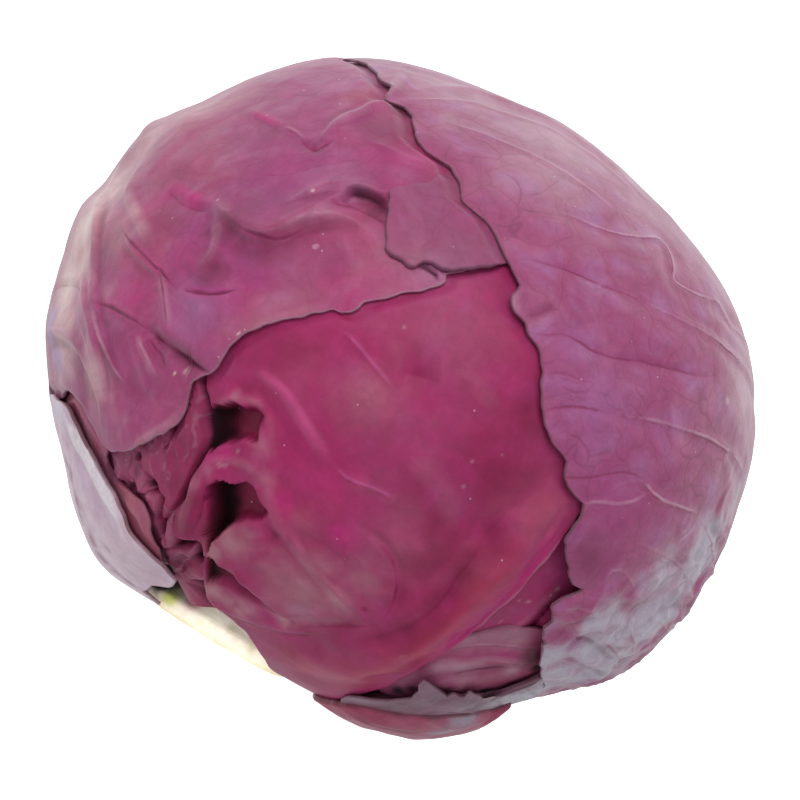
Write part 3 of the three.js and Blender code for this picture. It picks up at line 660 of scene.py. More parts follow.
def draw_line(x, kind, size, strength, points, leaf, marks, height):
    """Adds one line's height and marks at points x."""
    width, rise, form, gives = KINDS[kind]
    width *= size
    ends = directions(points, leaf.bed)
    line = curve_through(surface(ends, leaf.bed(ends)))
    who, dist, along, side = nearest(x, line, max(width * 1.25, THREAD_REACH))
    taper = smooth(-0.04, 0.25, along) * smooth(1.04, 0.7, along)
    far = dist / (width * (1 + 0.25 * noise(x[who], 5.0, 3)) * (0.45 + 0.55 * taper))
    round_shape = clamp(1 - far**2) ** 2
    shape = (clamp(1 - far) ** 1.7 if form == SHARP else round_shape) * taper * strength
    if kind == "drape":
        steep = np.where(side < 0, 0.3, 1.0)
        fall = clamp(far / steep)
        shape = np.where(side < 0, (1 - fall**2) ** 2, (1 - fall) ** 1.5) * taper * strength
    if kind == "step":
        height[who] += rise * size * side * np.sqrt(clamp(dist / width)) * round_shape * taper * strength * 2
    else:
        height[who] += rise * min(size, 1.4) * shape
    if kind == "lateral":
        height[who] += 0.12 * side * far * round_shape * taper
    broken = clamp(0.8 + 0.45 * noise(x[who], 3.4, 6)) * taper * strength
    if kind in THREADS:
        closer = dist < np.abs(marks["offset"][who])
        on = who[closer]
        marks["offset"][on] = (dist * side)[closer]
        reach = (clamp(1.6 - dist / 1.3) * clamp(1.25 * taper) * strength)[closer]
        reach = reach * (0.3 if leaf is front and kind != "soft_vein" else 1.0)
        for mark, amount in zip(("thread", "highlight_hair"), THREADS[kind]):
            marks[mark][on] = amount * reach
    if kind in FEET:
        foot, dark = FEET[kind]
        under = clamp(1 - ((far - foot) / 0.2) ** 2) * (side < 0) * broken
        marks["deep"][who] = np.maximum(marks["deep"][who], dark * under)
    for mark, (amount, share) in gives.items():
        fade = far / share if mark in ("line", "ink") else (far / share) ** 2
        marks[mark][who] = np.maximum(marks[mark][who], amount * clamp(1 - fade) * broken)


def draw(x, strokes, leaf, marks):
    """The height of a leaf's lines at points x; their marks are added. A line: size, strength and points."""
    height = np.zeros(len(x))
    for kind, rows in strokes.items():
        for size, strength, points in rows:
            draw_line(x, kind, size, strength, points, leaf, marks, height)
    return height


def blot(x, spots, leaf, marks):
    """Adds soft round marks at points x. A spot: place, radius in millimetres and strength."""
    for mark, rows in spots.items():
        for place, radius, strength in rows:
            centre = directions([place], leaf.bed)
            spot = surface(centre, leaf.bed(centre))[0]
            near = np.where(np.linalg.norm(x - spot, axis=1) < radius * 1.9)[0]
            q = x[near]
            uneven = 1 + 0.42 * noise(q, max(1.2, radius * 0.8), 2)
            uneven = uneven + 0.25 * noise(q, max(0.6, radius * 0.3), 5)
            far = np.linalg.norm(q - spot, axis=1) / radius * uneven
            s = np.exp(-2.2 * far**2) * smooth(1.9, 1.3, far)
            marks[mark][near] = np.maximum(marks[mark][near], strength * s)


# ---- meshes -----------------------------------------------------------------------------------
# the shaded part of the front leaf's crumpled edge, and the crumpled part of the right leaf
SHADED_LOBE = [(209, 476), (207, 552), (160, 548), (160, 510), (186, 480), (200, 462)]
CRUMPLED = [
    (552, 600), (600, 590), (650, 585), (680, 555), (705, 520), (735, 520), (690, 640), (610, 700),
    (536, 712),
]
# where the right leaf runs on into its torn base, without a rim
JOINED = [(534, 656), (562, 656), (562, 704), (534, 704)]
RIM_BULGE = 0.18
# the last rings before the margin, in steps of one ring, and the hidden face's, as shares of the reach
EDGE_RINGS = np.array([0.6, 0.35, 0.15, 0.05, 0])
UNDER_RINGS = np.array([
    1, 0.985, 0.96, 0.93, 0.9, 0.87, 0.84, 0.81, 0.78, 0.75, 0.72, 0.69, 0.66, 0.62, 0.55, 0.45, 0.28,
])


def add_mesh(name, points, faces, marks, material, node):
    """A smooth piece in metres that rides with the head and stands for a node."""
    mesh = bpy.data.meshes.new(name)
    mesh.from_pydata((points * 0.001).tolist(), [], faces)
    mesh.update()
    for mark, values in marks.items():
        layer = mesh.attributes.new(mark, "FLOAT", "POINT")
        layer.data.foreach_set("value", np.asarray(values, np.float32))
    mesh.shade_smooth()
    mesh.materials.append(material)
    piece = bpy.data.objects.new(name, mesh)
    bpy.context.scene.collection.objects.link(piece)
    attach(piece, "root")
    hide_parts(node)
    return piece


def closed_faces(count, rows):
    """Faces of a closed skin: a first point, rows of rings of count points, and a last point."""
    rings = [np.arange(count) + 1 + i * count for i in range(rows)]
    faces = [[0, int(a), int(b)] for a, b in zip(rings[0], np.roll(rings[0], -1))]
    for a, b in zip(rings, rings[1:]):
        faces += np.stack([a, b, np.roll(b, -1), np.roll(a, -1)], 1).tolist()
    last = rows * count + 1
    faces += [[int(a), last, int(b)] for a, b in zip(rings[-1], np.roll(rings[-1], -1))]
    return faces


def spoke_turns(leaf, count, front_share):
    """Turns of the spokes, closer together where the leaf faces the front."""
    facing = leaf.direction(leaf.grid, leaf.table * 0.7)[..., 1]
    weight = np.sin(np.minimum(leaf.table, math.pi / 2)) * (1 + front_share * smooth(0.35, -0.2, facing))
    total = np.concatenate([[0], np.cumsum(weight)])
    return np.interp(np.arange(count) / count * total[-1], total, np.append(leaf.grid, math.pi))


def deepen(marks, mark, values):
    """Raises a mark to the given values."""
    marks[mark] = np.maximum(marks[mark], values)


def leaf_piece(name, node, leaf, material, strokes, spots, size=(360, 110), front_share=0.0,
               lift=0.0, roll=0.0, free=None, wrinkle=0.12, seed=0, hidden=0.3, ragged=0.45):
    """A leaf's skin: its outer face with lines and spots, its rim, and a plain hidden face."""
    spokes, ring_count = size
    turns = spoke_turns(leaf, spokes, front_share)
    sharp = leaf.reach(turns)
    margin = surface(leaf.direction(turns, sharp), 0.0)
    sharp = sharp + ragged / ARC * (noise(margin, 4.5, seed + 3) + 0.8 * noise(margin, 2.3, seed + 4))
    spread = max(3, spokes // 26)
    blurred = sum(np.roll(sharp, k) for k in range(-spread, spread + 1)) / (2 * spread + 1)

    def reach_at(share):
        """Rings follow the ragged margin near it, and a blurred one towards the pole."""
        blend = share[:, None] ** 4
        return share[:, None] * (blurred * (1 - blend) + sharp * blend)

    shares = np.concatenate([np.arange(1, ring_count) / ring_count, 1 - EDGE_RINGS / ring_count])
    angle = reach_at(shares)
    d = np.concatenate([leaf.axis[None], leaf.direction(turns[None], angle).reshape(-1, 3)])
    inside = np.concatenate([[blurred.mean()], (sharp - angle).reshape(-1)]) * ARC
    marks = fresh_marks(len(d))
    x = surface(d, leaf.bed(d))
    at = on_sheet(x)
    facing = faces_front(d)
    level = leaf.outer(d) + lumps(d)
    shown = free(d, 1.8, 0.3) if free else 1.0
    joined = 1.0
    if leaf is right:
        facets = 0.5 - np.abs(noise(x, 5.5, 5)) * 1.7 + 0.5 * (0.4 - np.abs(noise(x, 2.4, 6)))
        level = level + 1.05 * facets * patch(at, CRUMPLED, 50) * facing
        joined = 1 - patch(at, JOINED, 8) * facing
    level = level + draw(x, strokes, leaf, marks) * shown
    blot(x, spots, leaf, marks)
    level = level + wrinkle * (noise(x, 6, seed) + 0.5 * noise(x, 2.6, seed + 1))
    bare = free(d) if free else 1.0
    if lift:
        wave = 0.55 + 0.8 * noise(x, 8, seed + 2)
        level = level + lift * wave * smooth(5.5, 0, inside) * bare * joined
    if roll:
        level = level - bare * roll * (1 - np.sqrt(clamp(1 - clamp(1 - inside / roll) ** 2)))
    marks["rim"] = smooth(0.4, 0.0, inside) * bare * joined
    # the front leaf's hollows and shaded lobe are darkened with painted shade, near-black at the hollows'
    # dark ends
    if leaf is front:
        deep, dark = pockets(at)
        deepen(marks, "deep", smooth(0.2, 1.6, deep) * facing)
        lobe = patch(at, SHADED_LOBE, 12) * facing
        deepen(marks, "deep", 0.62 * lobe * clamp(0.8 + 0.5 * noise(x, 3.0, 4)))
        deepen(marks, "gap_shade", 0.96 * dark * smooth(0.5, 2.0, deep) * facing)

    # The rim bulges a little past the margin, and the hidden face has a few rings only.
    margin_level = level[-spokes:]
    rim = surface(leaf.direction(turns, sharp + RIM_BULGE / ARC), margin_level - leaf.thick / 2)
    under_d = leaf.direction(turns[None], reach_at(UNDER_RINGS)).reshape(-1, 3)
    fade = np.repeat(smooth(0.9, 1.0, UNDER_RINGS), spokes)
    under_level = leaf.outer(under_d) + lumps(under_d) - hidden
    under_level = np.tile(margin_level, len(UNDER_RINGS)) * fade + under_level * (1 - fade) - leaf.thick
    if leaf is front:
        under_level = np.minimum(under_level, front_inner(under_d))
    under_pole = surface(leaf.axis[None], leaf.outer(leaf.axis[None]) - leaf.thick - 0.5)
    points = np.concatenate([surface(d, level), rim, surface(under_d, under_level), under_pole])
    # the rim and the hidden face are darkened with painted shade
    for mark in MARKS:
        tail = np.full(len(points) - len(d), {"deep": 0.7, "offset": FAR_OFF}.get(mark, 0.0))
        if mark == "rim":
            tail[:spokes] = 0.7
        marks[mark] = np.concatenate([marks[mark], tail])
    faces = closed_faces(spokes, len(shares) + 1 + len(UNDER_RINGS))
    return add_mesh(name, points, faces, marks, material, node)


# ---- materials --------------------------------------------------------------------------------
def rgb(text):
    """A colour written as it looks on screen, as the linear values that Blender wants."""
    parts = [int(text[i : i + 2], 16) / 255 for i in (1, 3, 5)]
    return [p / 12.92 if p <= 0.04045 else ((p + 0.055) / 1.055) ** 2.4 for p in parts] + [1.0]


class Graph:
    """A short way to write a material's nodes."""

    def __init__(self, name):
        self.material = bpy.data.materials.new(name)
        self.material.use_nodes = True
        self.tree = self.material.node_tree
        self.shader = self.tree.nodes["Principled BSDF"]

    def put(self, socket, value):
        if isinstance(value, bpy.types.NodeSocket):
            self.tree.links.new(value, socket)
        else:
            socket.default_value = value

    def node(self, kind, inputs=None, **settings):
        node = self.tree.nodes.new("ShaderNode" + kind)
        for key, value in settings.items():
            setattr(node, key, value)
        for key, value in (inputs or {}).items():
            self.put(node.inputs[key], value)
        return node

    def math(self, operation, a, b=0.0, limit=False):
        node = self.node("Math", operation=operation, use_clamp=limit)
        self.put(node.inputs[0], a)
        self.put(node.inputs[1], b)
        return node.outputs[0]

    def times(self, a, b, limit=False):
        return self.math("MULTIPLY", a, b, limit)

    def plus(self, a, b, limit=False):
        return self.math("ADD", a, b, limit)

    def minus(self, a, b):
        return self.math("SUBTRACT", a, b)

    def vector(self, operation, a, b):
        node = self.node("VectorMath", operation=operation)
        self.put(node.inputs[0], a)
        self.put(node.inputs[1], b)
        return node.outputs[0]

    def span(self, value, low, high, to_low=0.0, to_high=1.0):
        inputs = {"Value": value, "From Min": low, "From Max": high, "To Min": to_low, "To Max": to_high}
        return self.node("MapRange", inputs, interpolation_type="SMOOTHSTEP").outputs[0]

    def noise(self, place, scale, detail=3.0, rough=0.5, warp=0.0, output=0):
        inputs = {"Vector": place, "Scale": scale, "Detail": detail, "Roughness": rough, "Distortion": warp}
        return self.node("TexNoise", inputs).outputs[output]

    def cells(self, place, scale, feature="DISTANCE_TO_EDGE"):
        return self.node("TexVoronoi", {"Vector": place, "Scale": scale}, feature=feature).outputs

    def mark(self, name):
        return self.node("Attribute", attribute_name=name).outputs["Fac"]

    def tint(self, amount, under, over):
        """Lays a colour over another one."""
        node = self.node("Mix", data_type="RGBA", clamp_factor=True)
        self.put(node.inputs[0], amount)
        self.put(node.inputs[6], under)
        self.put(node.inputs[7], rgb(over))
        return node.outputs[2]


# Colours in order: base and second tone; hot, a magenta tone that also paints the glow of light through
# folds; pale, for dust and painted highlights; deep, painted shade, also the nets and ink where they have no
# colour of their own; bloom wax; pale vein line; dry rim.
def leaf_material(name, base, second, hot, pale, deep, bloom, line, rim, cell="#a878a4", cells=0.3, net=0.3,
                  net_tone=None, pink="#c4527e", ink=None, dust=0.05, rough=0.42, sheen=0.08, relief=1.0,
                  specular=0.5):
    """Leaf skin: two broad tones, cells between fine nets, wax, specks, and its colours at the marks, among
    them painted highlights, painted shade and a painted glow in folds.
    """
    g = Graph(name)
    place = g.node("TexCoord").outputs["Object"]
    broad = g.noise(place, 36, 2, 0.5, 0.6)
    middle = g.noise(place, 135, 3, 0.6)
    fine = g.noise(place, 950, 3, 0.65)
    mottle = g.noise(place, 330, 4, 0.72)
    cloud = g.noise(place, 75, 4, 0.62, 1.2)
    flakes = g.noise(place, 120, 5, 0.66)

    # a wide net and a fine one, bent a little, with a puffed cell in each mesh
    shift = g.vector("SUBTRACT", g.noise(place, 135, 1, 0.6, output=1), (0.5, 0.5, 0.5))
    bent = g.vector("ADD", place, g.vector("MULTIPLY", shift, (0.0085, 0.0085, 0.0085)))
    large = g.cells(bent, 88)["Distance"]
    large_net = g.span(large, 0.0, 0.04, 1.0, 0.0)
    small_net = g.span(g.cells(bent, 240)["Distance"], 0.0, 0.08, 1.0, 0.0)
    nets = g.math("MAXIMUM", large_net, g.times(small_net, 0.5))
    nets = g.times(nets, g.span(broad, 0.35, 0.6, 0.6, 1.0))
    puffed = g.span(large, 0.02, 0.34)

    # the tones of the blade, its dust, painted highlights at the pale marks, and its wax
    colour = g.tint(g.span(broad, 0.36, 0.64), rgb(base), second)
    colour = g.tint(g.times(g.span(middle, 0.3, 0.75), 0.28), colour, hot)
    colour = g.tint(g.times(g.times(puffed, g.span(cloud, 0.3, 0.62)), cells), colour, cell)
    colour = g.tint(g.times(nets, net), colour, net_tone or deep)
    colour = g.tint(g.times(g.mark("hot"), 0.85), colour, hot)
    dusty = g.times(g.span(cloud, 0.42, 0.75), dust)
    highlighted = g.times(g.mark("pale"), g.span(cloud, 0.1, 0.6, 0.55, 1.0))
    colour = g.tint(g.math("MAXIMUM", highlighted, dusty), colour, pale)
    edge = g.span(g.plus(g.mark("bloom"), g.minus(flakes, 0.5)), 0.1, 0.85)
    waxy = g.times(edge, g.span(g.mark("bloom"), 0.0, 0.5))
    waxy = g.times(waxy, g.minus(0.84, g.times(nets, 0.25)), limit=True)
    colour = g.tint(waxy, colour, bloom)

    # the lines, from wide and soft to fine and sharp: pink that is partly tone and partly painted highlight,
    # pale vein lines, painted shade at the deep marks, dark ink lines, and fine dark threads with painted
    # highlight hairs
    colour = g.tint(g.times(g.mark("pink"), 0.8), colour, pink)
    lined = g.span(g.mark("line"), 0.2, 0.6, 0.0, 0.7)
    colour = g.tint(g.times(lined, g.span(fine, 0.2, 0.7, 0.6, 1.0)), colour, line)
    colour = g.tint(g.times(g.mark("deep"), 0.85), colour, deep)
    colour = g.tint(g.span(g.mark("ink"), 0.32, 0.7, 0.0, 0.8), colour, ink or deep)
    offset = g.plus(g.mark("offset"), g.times(g.minus(mottle, 0.5), 0.7))
    below = g.span(g.math("ABSOLUTE", g.plus(offset, 0.2)), 0.04, 0.46, 1.0, 0.0)
    above = g.span(g.math("ABSOLUTE", g.minus(offset, 0.3)), 0.05, 0.6, 1.0, 0.0)
    patchy = g.span(middle, 0.36, 0.6, 0.4, 1.0)
    thread = g.times(below, g.times(g.mark("thread"), patchy))
    highlight_hair = g.times(above, g.times(g.mark("highlight_hair"), patchy))
    colour = g.tint(thread, g.tint(highlight_hair, colour, line), ink or deep)

    # pale specks, the dry rim, and near-black painted shade in gaps and hollows
    grain = g.cells(place, 620, "F1")
    chosen = g.span(g.node("SeparateColor", {"Color": grain["Color"]}).outputs[0], 0.965, 0.975)
    speck = g.times(g.span(grain["Distance"], 0.08, 0.15, 1.0, 0.0), chosen)
    colour = g.tint(g.times(speck, 0.5), colour, "#e6cfdc")
    colour = g.tint(g.times(g.mark("rim"), g.span(middle, 0.25, 0.6, 0.35, 1.0)), colour, rim)
    colour = g.tint(g.mark("gap_shade"), colour, "#14040b")
    value = g.plus(g.times(fine, 0.2), g.times(cloud, 0.24))
    value = g.plus(1.0, g.minus(g.plus(value, g.times(mottle, 0.42)), 0.43))
    colour = g.node("HueSaturation", {"Value": value, "Color": colour}).outputs[0]

    # roughness and fine relief
    roughness = g.plus(g.times(g.minus(middle, 0.5), 0.22), rough)
    roughness = g.plus(roughness, g.times(waxy, 0.2))
    roughness = g.plus(roughness, g.times(g.mark("gap_shade"), 0.5), limit=True)
    height = g.plus(g.times(middle, 0.3), g.times(fine, 0.07))
    height = g.plus(height, g.times(mottle, 0.16))
    height = g.minus(height, g.times(nets, 0.07))
    height = g.plus(height, g.times(puffed, 0.22))
    height = g.plus(height, g.times(g.minus(highlight_hair, thread), 0.25))
    bump = g.node("Bump", {"Strength": 0.4, "Distance": 0.0009 * relief, "Height": height})
    for socket, value in (
        ("Base Color", colour), ("Roughness", roughness), ("Normal", bump.outputs[0]),
        ("Sheen Weight", sheen), ("Sheen Roughness", 0.4), ("IOR", 1.45), ("Specular IOR Level", specular),
    ):
        g.put(g.shader.inputs[socket], value)
    return g.material


RIGHT_LOOK = leaf_material(
    "leaf_right", "#a24974", "#a5527a", "#9c3674", "#cfb1bb", "#67203f", "#bfbdcb", "#d4acc0", "#74485a",
    cell="#a568a2", cells=0.6, net=0.52, net_tone="#76305a", pink="#a96ca6", ink="#8a2c58", dust=0.1,
    sheen=0.34, specular=0.4,
)
BASE_LOOK = leaf_material(
    "leaf_base", "#84596b", "#8a6274", "#86406a", "#b59aa6", "#4a1c30", "#bfc0cc", "#b8a0ac", "#8a6a78",
    cell="#8a6a86", cells=0.4, net=0.3, net_tone="#5e3448", dust=0.1, sheen=0.1, specular=0.35,
)
TOP_LOOK = leaf_material(
    "leaf_top", "#a4446c", "#9a4274", "#c0207c", "#e8cac8", "#6e183e", "#b49ac4", "#cf98b2", "#a07088",
    cell="#a8648e", cells=0.42, net=0.2, ink="#7c1a4c", pink="#a86a9e", sheen=0.24, relief=0.8,
    specular=0.4,
)
FRONT_LOOK = leaf_material(
    "leaf_front", "#a23160", "#a03c68", "#c4257c", "#c08a98", "#741636", "#a992ab", "#d06cae", "#9a4a62",
    cell="#b0488a", cells=0.22, net=0.0, ink="#6e1034", pink="#b83058", dust=0.0, sheen=0.02, relief=0.5,
    specular=0.22,
)
FOLD_LOOK = leaf_material(
    "leaf_fold", "#9a4c6e", "#964e72", "#a8307a", "#cdaab4", "#5f1c3c", "#a795b6", "#cfa5bb", "#8a6078",
    cell="#9a6890", cells=0.3, net=0.14, sheen=0.1, relief=0.8, specular=0.3,
)
INNER_LOOK = leaf_material(
    "leaf_inner", "#9a4460", "#9a4a6c", "#a82c6c", "#c39cae", "#4a1428", "#b4b6ca", "#cfa5bb", "#884c62",
    cell="#a56a98", cells=0.25, net=0.05, sheen=0.04, relief=0.7, specular=0.35,
)
MIDDLE_LOOK = leaf_material(
    "leaf_middle", "#b45e74", "#b2627c", "#a82c6c", "#c39cae", "#4a1428", "#b4b6ca", "#cfa5bb", "#a0607a",
    cell="#a56a98", cells=0.25, net=0.05, sheen=0.04, relief=0.7, specular=0.35,
)
STUB_LOOK = leaf_material(
    "leaf_stub", "#a83e5c", "#a84c6c", "#9a2a5a", "#a5828e", "#4a1428", "#a5a0b2", "#b98aa0", "#7a4a58",
    cell="#96607c", cells=0.25, net=0.1, dust=0.06, sheen=0.0, relief=0.8, specular=0.3,
)
RUFFLE_LOOK = leaf_material(
    "leaf_ruffle", "#a8406a", "#a5466e", "#a8285e", "#b5849a", "#3a0f1e", "#9a8ea6", "#b98aa0", "#8d6270",
    cell="#a05080", cells=0.2, net=0.03, rough=0.5, sheen=0.0, relief=0.9, specular=0.3,
)
PALE_LOOK = leaf_material(
    "leaf_pale", "#eccfe1", "#e2c2da", "#8c4866", "#ece4ea", "#8a5068", "#d6d9e6", "#fbf8fb", "#7d4e58",
    cell="#ccbcd8", cells=0.4, net=0.15, net_tone="#b08cac", dust=0.2, sheen=0.1, relief=0.6,
)


# ---- the leaves' own lines --------------------------------------------------------------------
# Lines by kind: size, strength and points. Spots by mark: place, radius in millimetres and strength.
RIGHT_LINES = {
    "step": [
        (1.0, 0.2, [(560, 214), (600, 229), (640, 238), (662, 246), (676, 280), (716, 303), (738, 333)]),
        (1.0, 0.2, [(540, 262), (580, 276), (620, 291), (655, 306), (700, 330), (733, 357), (752, 385)]),
        (1.0, 0.2, [(548, 334), (590, 348), (640, 360), (700, 375)]),
        (1.0, 0.2, [(545, 405), (600, 409), (660, 422), (712, 441), (738, 462)]),
    ],
    "fold": [
        (1.3, 0.7, [(420, 90), (470, 93), (520, 110), (570, 138), (612, 168), (650, 205)]),
        (0.7, 0.6, [(520, 288), (514, 300), (520, 318)]),
        (1.0, 0.9, [(384, 100), (395, 88), (402, 76), (398, 68)]),
    ],
    "soft_vein": [
        (1.0, 1.0, [(400, 101), (440, 101), (470, 103), (500, 112), (540, 126), (580, 150), (620, 180),
            (650, 212)]),
        (1.0, 0.7, [(440, 120), (470, 130), (520, 150), (570, 178), (615, 212)]),
        (0.6, 0.7, [(583, 505), (600, 503), (620, 505), (640, 500), (652, 492)]),
    ],
    "lateral": [
        (1.0, 1.0, [(530, 205), (555, 212), (575, 219), (600, 229), (620, 235), (640, 238), (660, 240),
            (668, 252), (672, 265), (672, 278), (680, 287), (700, 297), (716, 303), (727, 318), (738, 333),
            globe(100, 33), globe(112, 20), globe(120, 8), globe(126, 0)]),
        (1.2, 1.0, [(612, 288), (630, 295), (648, 305), (669, 315), (690, 326), (711, 338), (732, 355),
            (749, 374), globe(104, 20), globe(115, 6), globe(125, -12)]),
        (1.0, 1.0, [(600, 411), (620, 416), (640, 419), (660, 423), (680, 429), (700, 436), (712, 441),
            (725, 450), (738, 462), globe(100, 8), globe(112, -8), globe(123, -22)]),
        (1.0, 1.0, [(640, 480), (650, 490), (660, 500), (680, 508), (700, 515)]),
        (0.9, 1.0, [(700, 520), (708, 530), (711, 545), (711, 565), (709, 580), globe(96, -16),
            globe(108, -30), globe(120, -42)]),
        (1.2, 1.0, [globe(126, -30), globe(145, -18), globe(165, -8), globe(190, -3)]),
        (1.2, 1.0, [globe(127, -12), globe(147, 2), globe(170, 12), globe(198, 16)]),
        (1.2, 1.0, [globe(128, 6), globe(148, 22), globe(172, 32), globe(202, 35)]),
        (1.2, 1.0, [globe(131, 24), globe(152, 40), globe(180, 50), globe(215, 55)]),
        (1.2, 1.0, [globe(122, -48), globe(142, -40), globe(165, -32), globe(182, -30)]),
    ],
    "dip": [
        (1.0, 1.0, [(500, 190), (555, 212), (600, 229), (660, 240), (680, 287), (727, 318),
            globe(112, 20)]),
        (1.1, 1.0, [(520, 255), (580, 276), (655, 306), (720, 343), (752, 385), globe(104, 20)]),
        (1.0, 1.0, [(520, 330), (575, 338), (620, 358), (680, 370), (718, 375)]),
        (1.0, 1.0, [(540, 405), (600, 409), (660, 422), (712, 441), (738, 462), globe(112, -8)]),
        (0.8, 1.0, [(600, 466), (650, 490), (700, 518), (711, 560)]),
        (1.2, 1.0, [globe(127, -12), globe(147, 2), globe(170, 12), globe(198, 16)]),
        (1.2, 1.0, [globe(128, 6), globe(148, 22), globe(172, 32), globe(202, 35)]),
        (1.2, 1.0, [globe(126, -30), globe(145, -18), globe(165, -8), globe(190, -3)]),
    ],
    "red_vein": [
        (1.1, 1.0, [(520, 255), (540, 262), (564, 269), (585, 277), (606, 286), (627, 294), (645, 303)]),
        (1.1, 1.0, [(520, 330), (535, 333), (550, 334), (565, 334), (575, 338), (590, 348), (605, 354),
            (620, 358), (640, 360), (655, 364), (680, 370), (700, 375), (718, 375)]),
        (0.8, 0.7, [(545, 372), (565, 373), (577, 378), (600, 384)]),
        (0.9, 1.0, [(538, 412), (556, 407), (575, 406), (592, 408), (612, 414), (640, 419)]),
    ],
    "drape": [
        (0.7, 0.7, [(700, 560), (676, 570), (652, 580), (628, 598), (606, 604)]),
        (0.7, 0.8, [(712, 590), (690, 606), (664, 612), (640, 628), (618, 640)]),
        (0.6, 0.8, [(600, 640), (624, 640), (648, 628)]),
        (0.6, 0.9, [(556, 640), (576, 634), (600, 640), (618, 656)]),
        (0.6, 0.8, [(556, 614), (572, 618), (590, 612), (606, 618)]),
        (0.6, 0.9, [(552, 664), (572, 656), (592, 662), (610, 672)]),
        (0.8, 0.6, [(734, 480), (722, 500), (718, 524), (722, 548)]),
    ],
    "thread": [
        (1.0, 0.5, [(500, 172), (515, 180), (522, 196), (514, 212)]),
        (1.0, 0.5, [(522, 196), (542, 192), (560, 178)]),
        (1.0, 0.5, [(600, 286), (604, 300), (598, 318), (602, 334)]),
        (1.0, 0.45, [(640, 302), (652, 318), (648, 340), (654, 360)]),
        (1.0, 0.5, [(560, 384), (575, 392), (596, 390), (612, 398)]),
        (1.0, 0.6, [(566, 432), (582, 440), (590, 456), (584, 470)]),
        (1.0, 0.55, [(612, 420), (622, 436), (616, 452), (630, 466)]),
        (1.0, 0.5, [(590, 456), (606, 452), (616, 452)]),
        (1.0, 0.5, [(664, 426), (672, 446), (664, 464), (672, 484)]),
        (1.0, 0.45, [(640, 370), (636, 388), (646, 402), (642, 416)]),
        (1.0, 0.9, [(550, 476), (566, 477), (589, 477), (610, 473), (633, 473), (648, 483)]),
    ],
    "vein": [
        (0.6, 0.7, [(606, 580), (612, 572), (620, 571), (628, 578), (633, 588)]),
        (0.6, 0.6, [(560, 610), (575, 609), (590, 610), (605, 605)]),
        (0.6, 0.7, [(640, 612), (632, 622), (629, 633), (632, 645), (627, 655)]),
        (0.6, 0.7, [(655, 618), (662, 625), (658, 640)]),
        (0.6, 0.7, [(590, 650), (600, 640), (612, 648), (616, 658), (605, 665)]),
        (0.6, 0.7, [(655, 600), (670, 590), (682, 582), (690, 580)]),
        (0.6, 0.7, [(680, 570), (690, 580), (696, 590)]),
        (0.6, 0.6, [(640, 545), (655, 552), (672, 560), (684, 572)]),
        (0.6, 0.6, [(700, 515), (694, 528), (680, 540), (676, 556)]),
    ],
    "crease": [
        (0.7, 0.8, [(526, 318), (540, 312), (556, 308), (566, 312)]),
    ],
    "rib": [
        (1.0, 1.0, [globe(112, -80), globe(120, -60), globe(123, -40), globe(126, -20), globe(128, 0),
            globe(130, 20), globe(135, 40), globe(152, 60)]),
    ],
}
RIGHT_SPOTS = {
    "bloom": [
        ((650, 625), 15, 1.0), ((700, 560), 15, 0.9), ((610, 665), 15, 1.0), ((560, 682), 16, 1.0),
        ((545, 686), 8, 1.0), ((550, 676), 9, 1.0), ((650, 622), 14, 1.0), ((660, 580), 14, 0.65),
        ((602, 622), 11, 0.6), ((600, 650), 12, 0.9), ((550, 660), 9, 0.9), ((735, 500), 10, 0.5),
        ((680, 620), 12, 1.0), (globe(95, -20), 22, 0.9), (globe(115, -45), 26, 0.9),
        (globe(150, -50), 26, 0.7), ((540, 150), 16, 0.25), ((580, 350), 8, 0.3), ((600, 290), 9, 0.25),
    ],
    "line": [((552, 680), 7, 0.45), ((652, 626), 8, 0.3), ((702, 560), 8, 0.3)],
    # paler patches at the limb and a glint: painted highlights
    "pale": [
        ((735, 500), 12, 0.35), ((748, 440), 9, 0.35), ((742, 350), 9, 0.35), ((615, 170), 12, 0.5),
        ((690, 245), 10, 0.35), ((560, 140), 18, 0.55), ((552, 182), 14, 0.35), ((480, 100), 16, 0.4),
        ((650, 215), 13, 0.35), ((745, 400), 11, 0.6), ((720, 290), 9, 0.3), ((727, 400), 1.3, 0.9),
        (globe(180, 20), 30, 0.3),
    ],
    # painted shade
    "deep": [
        ((552, 182), 14, 0.1), ((520, 135), 14, 0.12), ((640, 262), 12, 0.16), ((570, 300), 10, 0.1),
        ((588, 558), 8, 0.55), ((700, 395), 3, 0.3),
    ],
    "hot": [
        ((690, 340), 10, 0.35), ((560, 440), 8, 0.5), ((622, 500), 14, 0.95), ((648, 524), 9, 0.6),
        ((600, 300), 12, 0.3), ((590, 430), 11, 0.4), ((610, 520), 14, 0.9), ((590, 562), 10, 1.0),
        ((620, 500), 9, 0.6), ((660, 520), 9, 0.5), ((580, 450), 8, 0.4), ((560, 360), 10, 0.3),
        ((660, 440), 12, 0.35), (globe(150, 5), 24, 0.3),
    ],
    "pink": [((600, 398), 11, 0.6), ((575, 345), 8, 0.5), ((590, 440), 6, 0.4)],
}
